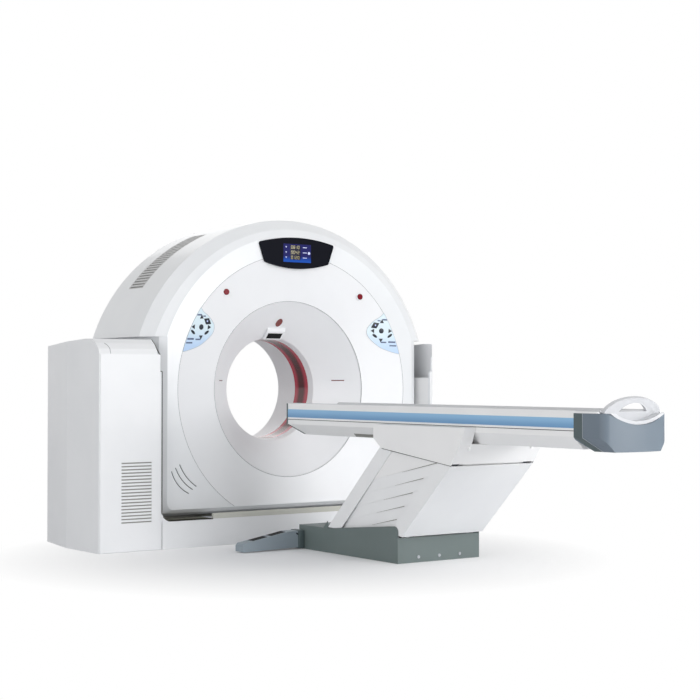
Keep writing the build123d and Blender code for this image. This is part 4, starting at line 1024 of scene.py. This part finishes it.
@dataclass
class GantryTrim:
    """Seams, corner grooves with painted shade in them, chin in painted shade, and vent mats of the tilting
    housing.
    """

    seam_radius: float = 0.0013
    seam_sink: float = 0.0003
    seam_gap: float = 0.0005
    ring_steps: int = 96
    cover_low_z: float = 0.224
    groove_radius: float = 0.0022
    groove_y: float = -0.4292
    groove_steps: int = 20
    grooves: tuple[Pairs, ...] = (((-0.895, 0.455), (-0.858, 0.382), (-0.777, 0.317)),
                                  ((-0.868, 0.476), (-0.826, 0.404), (-0.749, 0.340)),
                                  ((-0.840, 0.495), (-0.799, 0.426), (-0.724, 0.358)))
    chin_x: Pair = (-0.960, 0.960)
    chin_y: Pair = (-0.200, -0.194)
    chin_z: Pair = (0.150, 0.1775)
    hood_z: float = 0.900
    mat_radius: float = 1.121
    mat_angles: Pairs = ((144.0, 112.0), (68.0, 36.0))
    mat_y: Pair = (-0.066, 0.134)
    mat_steps: tuple[int, int] = (32, 2)
    mat_wall: float = 0.001

    def disc_seam(self) -> Object:
        """The line round the front disc, open at the cover's lower edge.

        Returns:
            The line as a thin bead.
        """
        radius = DISC_OUT_R + self.seam_gap
        low = math.asin((self.cover_low_z - ISO_Z) / radius)
        ring = ring_points((0, ISO_Z), radius, spaced(low, math.pi - low, self.ring_steps))
        places = front_points(DISC_OUT_Y + self.seam_sink, ring)
        return Bench.bead(places, self.seam_radius, "disc_outer_seam", closed=False)

    def funnel_seam(self) -> Object:
        """The line round the funnel's mouth.

        Returns:
            The line as a thin bead.
        """
        ring = ring_points((0, ISO_Z), DISC_IN_R, spaced(0, 2 * math.pi, self.ring_steps)[:-1])
        places = front_points(DISC_IN_Y + self.seam_sink, ring)
        return Bench.bead(places, self.seam_radius, "funnel_mouth_seam")

    def corner_lines(self) -> Object:
        """Dark floors of the three curved grooves: painted shade in them.

        Returns:
            The floors as one piece.
        """
        made = []
        for groove in self.grooves:
            arc = front_points(self.groove_y, arc_points(*groove, self.groove_steps))
            made.append(Bench.bead(arc, self.groove_radius, "groove", closed=False))
        return Bench.join(made, "corner_lines")

    def chin(self) -> Object:
        """Flap under the housing that closes the view beneath it, in an olive grey darker than the whites:
        painted shade.
        """
        return Bench.box(self.chin_x, self.chin_y, self.chin_z, "housing_chin")

    def mat(self, number: int) -> Object:
        """Fine mesh behind one vent grille.

        Args:
            number: The grille's number, from 0.

        Returns:
            The mesh as a thin plate.
        """
        first, last = (math.radians(angle) for angle in self.mat_angles[number])

        def place(turn: float, back: float) -> Vector:
            """Point of the mesh.

            Args:
                turn: Share of the way round the hood.
                back: Share of the way from front to back.

            Returns:
                The point.
            """
            angle = first + (last - first) * turn
            y = self.mat_y[0] + (self.mat_y[1] - self.mat_y[0]) * back
            return front_points(y, ring_points((0, self.hood_z), self.mat_radius, [angle]))[0]

        middle = (first + last) / 2
        outward = Vector((math.cos(middle), 0, math.sin(middle)))
        return Bench.patch(self.mat_steps, place, outward, self.mat_wall, f"vent_mat_{number}")

    def build(self, palette: Palette) -> None:
        """Make and dress the trim.

        Args:
            palette: The finishes.
        """
        for piece, finish, slot in ((self.disc_seam(), "seam_grey", "disc_white"),
                                    (self.funnel_seam(), "seam_grey", "disc_white"),
                                    (self.corner_lines(), "painted_shade_dark", "white_cover"),
                                    (self.chin(), "ledge_painted_shade", "white_cover"),
                                    (self.mat(0), "mat_grey", "vent_grey"),
                                    (self.mat(1), "mat_grey", "vent_grey")):
            palette.fit(piece, finish, "gantry")


@dataclass
class TowerTrim:
    """Painted shadow line along the left tower's edge, slit floors with painted shade, inner wall of the
    towers in a brighter white as painted light, and the plinth's recess floor and front edge with painted
    shade.
    """

    front_y: float = -0.5215
    gap_shadow_radius: float = 0.0028
    gap_shadow_inset: float = 0.0005
    shoulder_x: float = -1.0370
    gap_shadow_shoulder: Pairs = ((-0.440, 1.2465), (-0.478, 1.2205), (-0.508, 1.1885))
    gap_shadow_face: Pairs = ((-1.0233, 1.157), (-1.0225, 1.060), (-1.0085, 1.056))
    gap_shadow_end: Pair = (-0.660, 0.1655)
    corner_radius: float = 0.054
    corner_centre: Pair = (-0.955, 0.2195)
    corner_steps: int = 12
    gusset_root: Pair = (-1.0095, 0.1645)
    gusset_y: float = -0.5255
    gusset_depth: float = 0.016
    slit_top: float = 0.523
    slit_pitch: float = 0.0193
    slit_height: float = 0.008
    slit_count: int = 19
    slit_x: Pair = (-1.277, -1.078)
    slit_y: float = -0.5201
    slit_play: float = 0.0006
    slit_depth: float = 0.0012
    wall_x: Pair = (1.0093, 1.0123)
    wall_y: Pair = (-0.508, -0.351)
    wall_z: Pair = (0.002, 1.020)
    step_x: Pair = (-0.655, 0.955)
    step_y: Pair = (-0.5192, -0.4935)
    step_z: Pair = (0.1635, 0.197)
    step_rounding: float = 0.006
    recess_x: Pair = (-0.985, -0.660)
    recess_y: Pair = (-0.5165, -0.365)
    recess_z: Pair = (0.1659, 0.1671)
    seam_line: Triples = ((-1.345, -0.5195, 1.160), (-1.3455, -0.5085, 1.190), (-1.348, -0.4985, 1.2005),
                          (-1.354, -0.4885, 1.2115), (-1.366, -0.4785, 1.222))
    seam_radius: float = 0.0016

    def corner(self, radius: float, first: float, last: float) -> list[Pair]:
        """Points round the inside corner between the left tower and the plinth."""
        return ring_points(self.corner_centre, radius, spaced(first, last, self.corner_steps))

    def gap_shadow_line(self) -> Object:
        """Dark line along the left tower's inner edge and the plinth's top: painted shadow of the gap there.

        Returns:
            The line as a bead.
        """
        corner = self.corner(self.corner_radius - self.gap_shadow_inset, math.pi, 1.5 * math.pi)
        places = side_points(self.shoulder_x, self.gap_shadow_shoulder)
        places += front_points(self.front_y, [*self.gap_shadow_face, *corner, self.gap_shadow_end])
        return Bench.bead(places, self.gap_shadow_radius, "left_tower_seal", closed=False)

    def gusset(self) -> Object:
        """Rounded inside corner between the left tower and the plinth.

        Returns:
            The piece that fills it.
        """
        outline = [self.gusset_root, *self.corner(self.corner_radius, 1.5 * math.pi, math.pi)]
        push = Vector((0, self.gusset_depth, 0))
        return Bench.prism(front_points(self.gusset_y, outline), push, "tower_corner_gusset")

    def slit_floors(self) -> Object:
        """Dark floors of the left tower's slits: painted shade in the slits.

        Returns:
            The floors as one piece.
        """
        left, right = self.slit_x
        size = (right - left - self.slit_play, self.slit_height - self.slit_play, self.slit_depth)
        place = upright_place((left + right) / 2, self.slit_y, self.slit_top - self.slit_height / 2)
        row = Bench.copies(Bench.bar(*size, place), Vector((0, 0, -self.slit_pitch)), self.slit_count)
        return Bench.join(row, "slit_floors")

    def inner_wall(self) -> Object:
        """Wall of the right tower beside the tilting housing, up to where the housing sweeps the space. It is
        in the couch's white, brighter than the tower's: painted light on a shaded wall.
        """
        return Bench.box(self.wall_x, self.wall_y, self.wall_z, "right_tower_inner_wall")

    def step(self) -> Object:
        """Raised front edge of the plinth, right of the recess, in an olive grey darker than the whites:
        painted shade.
        """
        return Bench.box(self.step_x, self.step_y, self.step_z, "plinth_step", self.step_rounding)

    def recess_shade_floor(self) -> Object:
        """Floor of the recess beside the left tower, with painted shade: near black at its front edge,
        lighter towards the back.
        """
        return Bench.box(self.recess_x, self.recess_y, self.recess_z, "plinth_recess_floor")

    def shoulder_seam(self) -> Object:
        """Short curved seam on the left tower's shoulder."""
        places = [Vector(place) for place in self.seam_line]
        return Bench.bead(places, self.seam_radius, "shoulder_seam", closed=False)

    def build(self, palette: Palette) -> None:
        """Make and dress the trim.

        Args:
            palette: The finishes.
        """
        for piece, finish in ((self.gap_shadow_line(), "painted_gap_shadow"),
                              (self.gusset(), "tower_white"),
                              (self.slit_floors(), "painted_shade_grey"),
                              # the couch's white on the tower's inner wall, brighter than the tower's own
                              # white: painted light
                              (self.inner_wall(), "couch_white"),
                              (self.step(), "ledge_painted_shade"),
                              (self.recess_shade_floor(), "recess_shade"),
                              (self.shoulder_seam(), "seam_grey")):
            palette.fit(piece, finish, "base")


@dataclass(frozen=True)
class PlateEdge:
    """Lower edge of one pair of the column's side plates, with the tapered shadow under it.

    The edge passes through the corner, a place of the side view. The shadow runs from its dark end to
    its light end, just outside the face that lies half of the column's width from the middle.
    """

    body: str
    corner: Pair
    dark_y: float
    light_y: float
    half: float
    slope: float = 0.2162
    dark_height: float = 0.0048
    light_height: float = 0.0006
    proud: float = 0.0023
    wall: float = 0.002

    def at(self, y: float, drop: float) -> Pair:
        """Place of the side view below the edge."""
        return y, self.corner[1] + self.slope * (self.corner[0] - y) - drop

    def shadow(self) -> Object:
        """The shadow on both sides."""
        outline = side_points(self.half + self.proud, (self.at(self.dark_y, 0), self.at(self.light_y, 0),
                                                       self.at(self.light_y, self.light_height),
                                                       self.at(self.dark_y, self.dark_height)))
        return Bench.join(Bench.twins(outline, Vector((-self.wall, 0, 0))), f"{self.body}_line")


@dataclass
class CouchTrim:
    """Edge trims, groove lines with painted shade, a flat of painted shade and painted shadow lines of the
    couch, the same on both sides.

    The outlines are given for the right side. Where they lie in an upright face, they are places of
    the side view, and the half width beside them says where that face is.
    """

    table_half: float = 0.210
    low_half: float = 0.150
    chamfer_z: float = 0.735
    low_z: float = 0.673
    chamfer_normal: Pair = (0.72, -0.69)
    trim_half: float = 0.2118
    trim_upright: Pairs = ((-0.6505, 0.8612), (-0.6505, 0.7365), (-0.663, 0.7365), (-0.663, 0.8612))
    trim_slope: Pairs = ((-0.6545, 0.7365), (-0.7585, 0.6765), (-0.7775, 0.6765), (-0.667, 0.7365))
    trim_lift: float = 0.0012
    trim_wall: float = 0.0025
    groove_half: float = 0.2094
    groove: Pairs = ((-0.664, 0.7623), (-0.664, 0.7657), (-3.2015, 0.7657), (-3.2015, 0.7623))
    groove_wall: float = 0.002
    recess: Pairs = ((-1.310, 0.676), (-1.310, 0.694), (-1.553, 0.694), (-1.553, 0.676))
    recess_lift: float = 0.0006
    recess_push: Triple = (-0.001, 0, 0.001)
    saddle_half: float = 0.2868
    saddle_gap: Pairs = ((-1.742, 0.6290), (-2.352, 0.5576), (-2.352, 0.5546), (-1.742, 0.6250))
    saddle_wall: float = 0.0012
    band_half: float = 0.2148
    band_upright: Pairs = ((-3.2025, 0.849), (-3.2025, 0.733), (-3.262, 0.733), (-3.262, 0.849))
    band_slope: Triples = ((0.2146, -3.2045, 0.7325), (0.1535, -3.284, 0.6660), (0.1535, -3.342, 0.6660),
                           (0.2146, -3.262, 0.7325))
    band_push: Triple = (-0.0016, 0, 0.0004)
    edge_line: Triples = ((0.2144, -3.263, 0.849), (0.2144, -3.263, 0.7325), (0.1535, -3.343, 0.6662))
    edge_radius: float = 0.0014
    rail_y: float = -3.2035
    rail_section: Pairs = ((0.2135, 0.8500), (0.1878, 0.8500), (0.2002, 0.8594), (0.2135, 0.8594))
    rail_length: float = 0.158
    plate_y: float = -3.2022
    plate_section: Pairs = ((-0.206, 0.750), (-0.206, 0.735), (-0.149, 0.676), (0.149, 0.676), (0.206, 0.735),
                            (0.206, 0.750))
    plate_wall: float = 0.002
    plate_edges: tuple[PlateEdge, ...] = (
        PlateEdge("table", (-2.3285, 0.5919), -2.243, -1.923, 0.2775),
        PlateEdge("high_shutter", (-2.2442, 0.5119), -2.104, -1.848, 0.2745),
        PlateEdge("middle_shutter", (-2.1599, 0.4319), -2.005, -1.743, 0.2715),
        PlateEdge("low_shutter", (-2.0756, 0.3519), -1.927, -1.673, 0.2685),
        PlateEdge("base", (-1.9913, 0.2719), -1.854, -1.626, 0.2655))

    def on_chamfer(self, outline: Pairs, lift: float) -> list[Vector]:
        """Outline above the table's sloping lower side.

        Args:
            outline: Places of the side view.
            lift: Distance above the surface.

        Returns:
            The outline's corners.
        """
        outwards, upwards = self.chamfer_normal
        corners = []
        for y, z in outline:
            share = (self.chamfer_z - z) / (self.chamfer_z - self.low_z)
            half = self.table_half + (self.low_half - self.table_half) * share
            corners.append(Vector((half + lift * outwards, y, z + lift * upwards)))
        return corners

    def end_trim(self) -> list[Object]:
        """Grey edge of the table's bore end: its upright and its sloping part.

        Returns:
            The plates of both sides.
        """
        inward = Vector((-self.trim_wall, 0, 0))
        upright = Bench.twins(side_points(self.trim_half, self.trim_upright), inward)
        return upright + Bench.twins(self.on_chamfer(self.trim_slope, self.trim_lift), inward)

    def groove_shade_floor(self) -> list[Object]:
        """Dark floor of the groove under the side strip: painted shade in the groove."""
        return Bench.twins(side_points(self.groove_half, self.groove), Vector((-self.groove_wall, 0, 0)))

    def recess_shade_flat(self) -> list[Object]:
        """Dark flat on the table's sloping side, in front of the saddle: painted shade on the underside."""
        return Bench.twins(self.on_chamfer(self.recess, self.recess_lift), Vector(self.recess_push))

    def saddle_line(self) -> list[Object]:
        """Dark line along the saddle's lower edge: painted shadow of the gap there."""
        return Bench.twins(side_points(self.saddle_half, self.saddle_gap), Vector((-self.saddle_wall, 0, 0)))

    def cap_band(self) -> list[Object]:
        """Dark band of the end cap beside the joint, on its side and on its slope."""
        upright = Bench.twins(side_points(self.band_half, self.band_upright), Vector(self.band_push))
        return upright + Bench.twins([Vector(place) for place in self.band_slope], Vector(self.band_push))

    def cap_edge(self) -> list[Object]:
        """Light edge line beside the dark band."""
        lines = [[Vector((side * x, y, z)) for x, y, z in self.edge_line] for side in (-1, 1)]
        return [Bench.bead(line, self.edge_radius, "edge", closed=False) for line in lines]

    def cap_rail(self) -> list[Object]:
        """White ledge between the end cap's top and the sliding top."""
        return Bench.twins(front_points(self.rail_y, self.rail_section), Vector((0, -self.rail_length, 0)))

    def joint_plate(self) -> list[Object]:
        """Plate that closes the table's hollow beside the end cap."""
        outline = front_points(self.plate_y, self.plate_section)
        return [Bench.prism(outline, Vector((0, -self.plate_wall, 0)), "joint_plate")]

    def build(self, palette: Palette) -> None:
        """Make and dress the trim.

        Args:
            palette: The finishes.
        """
        for name, make, finish, slot in (("bore_end_trim", self.end_trim, "collar_green", "couch_white"),
                                         ("strip_groove", self.groove_shade_floor, "painted_shade_dark", "couch_white"),
                                         ("side_recess", self.recess_shade_flat, "painted_shade_grey", "couch_white"),
                                         ("saddle_line", self.saddle_line, "painted_shade_dark", "couch_white"),
                                         ("cap_band", self.cap_band, "collar_green", "cap_grey"),
                                         ("cap_edge", self.cap_edge, "rim_grey", "cap_grey"),
                                         ("cap_rail", self.cap_rail, "couch_white", "couch_white"),
                                         ("joint_plate", self.joint_plate, "couch_white", "couch_white")):
            palette.fit(Bench.join(make(), name), finish, "table")
        for edge in self.plate_edges:
            palette.fit(edge.shadow(), "painted_shade_grey", edge.body)


@dataclass
class PedalTrim:
    """Dark collar between the pedal unit and the skirt, and the slanted slot on the unit's side."""

    x: Pair = (-0.334, -0.2898)
    y: Pair = (-0.9735, -0.8775)
    z: Pair = (0.004, 0.113)
    rounding: float = 0.008
    slot_place: Triple = (-0.340, -0.9664, 0.092)
    slot_size: Triple = (0.016, 0.008, 0.0010)
    slot_turn: float = -0.6

    def build(self, palette: Palette) -> None:
        """Make and dress the collar and the slot.

        Args:
            palette: The finishes.
        """
        collar = Bench.box(self.x, self.y, self.z, "pedal_collar", self.rounding)
        palette.fit(collar, "collar_green", "base")
        slot = Bench.bar(*self.slot_size, upright_place(*self.slot_place), self.slot_turn)
        palette.fit(Bench.join([slot], "pedal_slot"), "pedal_black", "base")


@dataclass(frozen=True)
class Lamp:
    """Soft square lamp aimed at a point."""

    name: str
    place: Triple
    aim: Triple
    size: float
    watts: float

    def make(self) -> None:
        """Hang the lamp in the scene."""
        data = bpy.data.lights.new(self.name, "AREA")
        data.size = self.size
        data.energy = self.watts
        piece = bpy.data.objects.new(self.name, data)
        piece.location = self.place
        piece.rotation_euler = (Vector(self.aim) - Vector(self.place)).to_track_quat("-Z", "Y").to_euler()
        bpy.context.scene.collection.objects.link(piece)


@dataclass
class Studio:
    """Floor, lights, world and camera."""

    camera_place: Triple = (-5.3439, -8.6167, 1.0206)
    yaw: float = -0.6136009
    rise: float = 0.0180213
    focal_pixels: float = 1532.39
    image_pixels: float = 700.0
    sensor: float = 36.0
    far_clip: float = 200.0
    floor_size: float = 80.0
    floor_drop: float = 0.0005
    floor_colour: Triple = (0.86, 0.87, 0.89)
    shadow_centre: Triple = (-0.5, -1.2, 0.0)
    shadow_reach: Pair = (0.4, 1.8)
    floor_white: Pair = (0.10, 1.0)
    sky_height: Pair = (0.2, 1.0)
    sky_level: Pair = (0.70, 0.28)
    lamps: tuple[Lamp, ...] = (Lamp("key", (2.8, -12.0, 3.4), (0, -0.8, 0.9), 5.0, 410),
                               Lamp("fill", (-8.0, -4.5, 2.0), (0, -1.2, 0.8), 4.0, 125),
                               Lamp("low", (2.6, -8.0, 0.8), (0, -2.0, 0.6), 3.0, 120),
                               Lamp("overhead", (0.0, -1.0, 6.5), (0, -1.0, 0), 5.0, 12),
                               Lamp("rear", (3.0, 7.0, 4.5), (0, 0, 1.0), 4.0, 35))

    def camera(self) -> None:
        """The photograph's camera."""
        data = bpy.data.cameras.new("camera")
        data.sensor_width = self.sensor
        data.lens = self.focal_pixels / self.image_pixels * self.sensor
        data.clip_end = self.far_clip
        piece = bpy.data.objects.new("camera", data)
        piece.location = self.camera_place
        piece.rotation_euler = (math.pi / 2 + self.rise, 0, self.yaw)
        bpy.context.scene.collection.objects.link(piece)
        bpy.context.scene.camera = piece

    def floor(self) -> None:
        """Floor that the camera sees as white, save for a faint shadow near the scanner."""
        Bench.clear()
        bpy.ops.mesh.primitive_plane_add(size=self.floor_size, location=(0, 0, -self.floor_drop))
        floor = bpy.context.active_object
        floor.name = "floor"
        Bench.settle(floor)
        material = bpy.data.materials.new("floor_white")
        material.use_nodes = True
        material.node_tree.nodes.clear()
        kit = Nodes(material.node_tree)
        matt = kit.add("ShaderNodeBsdfDiffuse", Color=(*self.floor_colour, 1.0))
        bright = kit.add("ShaderNodeEmission", Color=(1.0, 1.0, 1.0, 1.0), Strength=1.0)
        place = kit.add("ShaderNodeTexCoord")
        centre = kit.add("ShaderNodeVectorMath", operation="SUBTRACT")
        centre.inputs[1].default_value = self.shadow_centre
        kit.join(place, "Object", centre, 0)
        reach = kit.add("ShaderNodeVectorMath", operation="LENGTH")
        kit.join(centre, "Vector", reach, 0)
        fade = kit.add("ShaderNodeMapRange", From_Min=self.shadow_reach[0], From_Max=self.shadow_reach[1],
                       To_Min=self.floor_white[0], To_Max=self.floor_white[1])
        kit.join(reach, "Value", fade, "Value")
        ray = kit.add("ShaderNodeLightPath")
        share = kit.add("ShaderNodeMath", operation="MULTIPLY")
        kit.join(ray, "Is Camera Ray", share, 0)
        kit.join(fade, "Result", share, 1)
        mix = kit.add("ShaderNodeMixShader")
        kit.join(share, "Value", mix, 0)
        kit.join(matt, "BSDF", mix, 1)
        kit.join(bright, "Emission", mix, 2)
        kit.join(mix, "Shader", kit.add("ShaderNodeOutputMaterial"), "Surface")
        floor.data.materials.append(material)

    def world(self) -> None:
        """White behind the object and in its reflections, and a softer level for its light."""
        world = bpy.data.worlds.new("studio")
        bpy.context.scene.world = world
        world.use_nodes = True
        world.node_tree.nodes.clear()
        kit = Nodes(world.node_tree)
        place = kit.add("ShaderNodeTexCoord")
        split = kit.add("ShaderNodeSeparateXYZ")
        kit.join(place, "Generated", split, "Vector")
        level = kit.add("ShaderNodeMapRange", From_Min=self.sky_height[0], From_Max=self.sky_height[1],
                        To_Min=self.sky_level[0], To_Max=self.sky_level[1])
        kit.join(split, "Z", level, "Value")
        soft = kit.add("ShaderNodeBackground", Color=(1.0, 1.0, 1.0, 1.0))
        kit.join(level, "Result", soft, "Strength")
        white = kit.add("ShaderNodeBackground", Color=(1.0, 1.0, 1.0, 1.0), Strength=1.0)
        ray = kit.add("ShaderNodeLightPath")
        seen = kit.add("ShaderNodeMath", operation="MAXIMUM")
        kit.join(ray, "Is Camera Ray", seen, 0)
        kit.join(ray, "Is Glossy Ray", seen, 1)
        passed = kit.add("ShaderNodeMath", operation="MAXIMUM")
        kit.join(seen, "Value", passed, 0)
        kit.join(ray, "Is Transmission Ray", passed, 1)
        mix = kit.add("ShaderNodeMixShader")
        kit.join(passed, "Value", mix, 0)
        kit.join(soft, "Background", mix, 1)
        kit.join(white, "Background", mix, 2)
        kit.join(mix, "Shader", kit.add("ShaderNodeOutputWorld"), "Surface")

    def build(self) -> None:
        """Set up the whole studio."""
        bpy.context.scene.view_settings.view_transform = "Standard"
        self.camera()
        self.floor()
        self.world()
        for lamp in self.lamps:
            lamp.make()


def dress_nodes(palette: Palette) -> None:
    """Give every CAD node the finish of its material slot.

    Args:
        palette: The finishes.
    """
    slots = {entry["node"]: entry["material_slot"] for entry in frame["record"]["subparts"]}
    for name, piece in frame["nodes"].items():
        palette.dress(piece, slots[name])
    LOG.info("dressed %d CAD nodes", len(frame["nodes"]))


def main() -> None:
    """Build the studio, the finishes and each sub-assembly's pieces in order."""
    logging.basicConfig(level=logging.INFO, format="%(name)s: %(message)s")
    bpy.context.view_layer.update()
    Studio().build()
    palette = Palette()
    dress_nodes(palette)
    ControlPanel(-1, "left").build(palette)
    ControlPanel(1, "right").build(palette)
    Readout().build(palette)
    GantryTrim().build(palette)
    TowerTrim().build(palette)
    CouchTrim().build(palette)
    PedalTrim().build(palette)


if __name__ == "__main__":
    main()
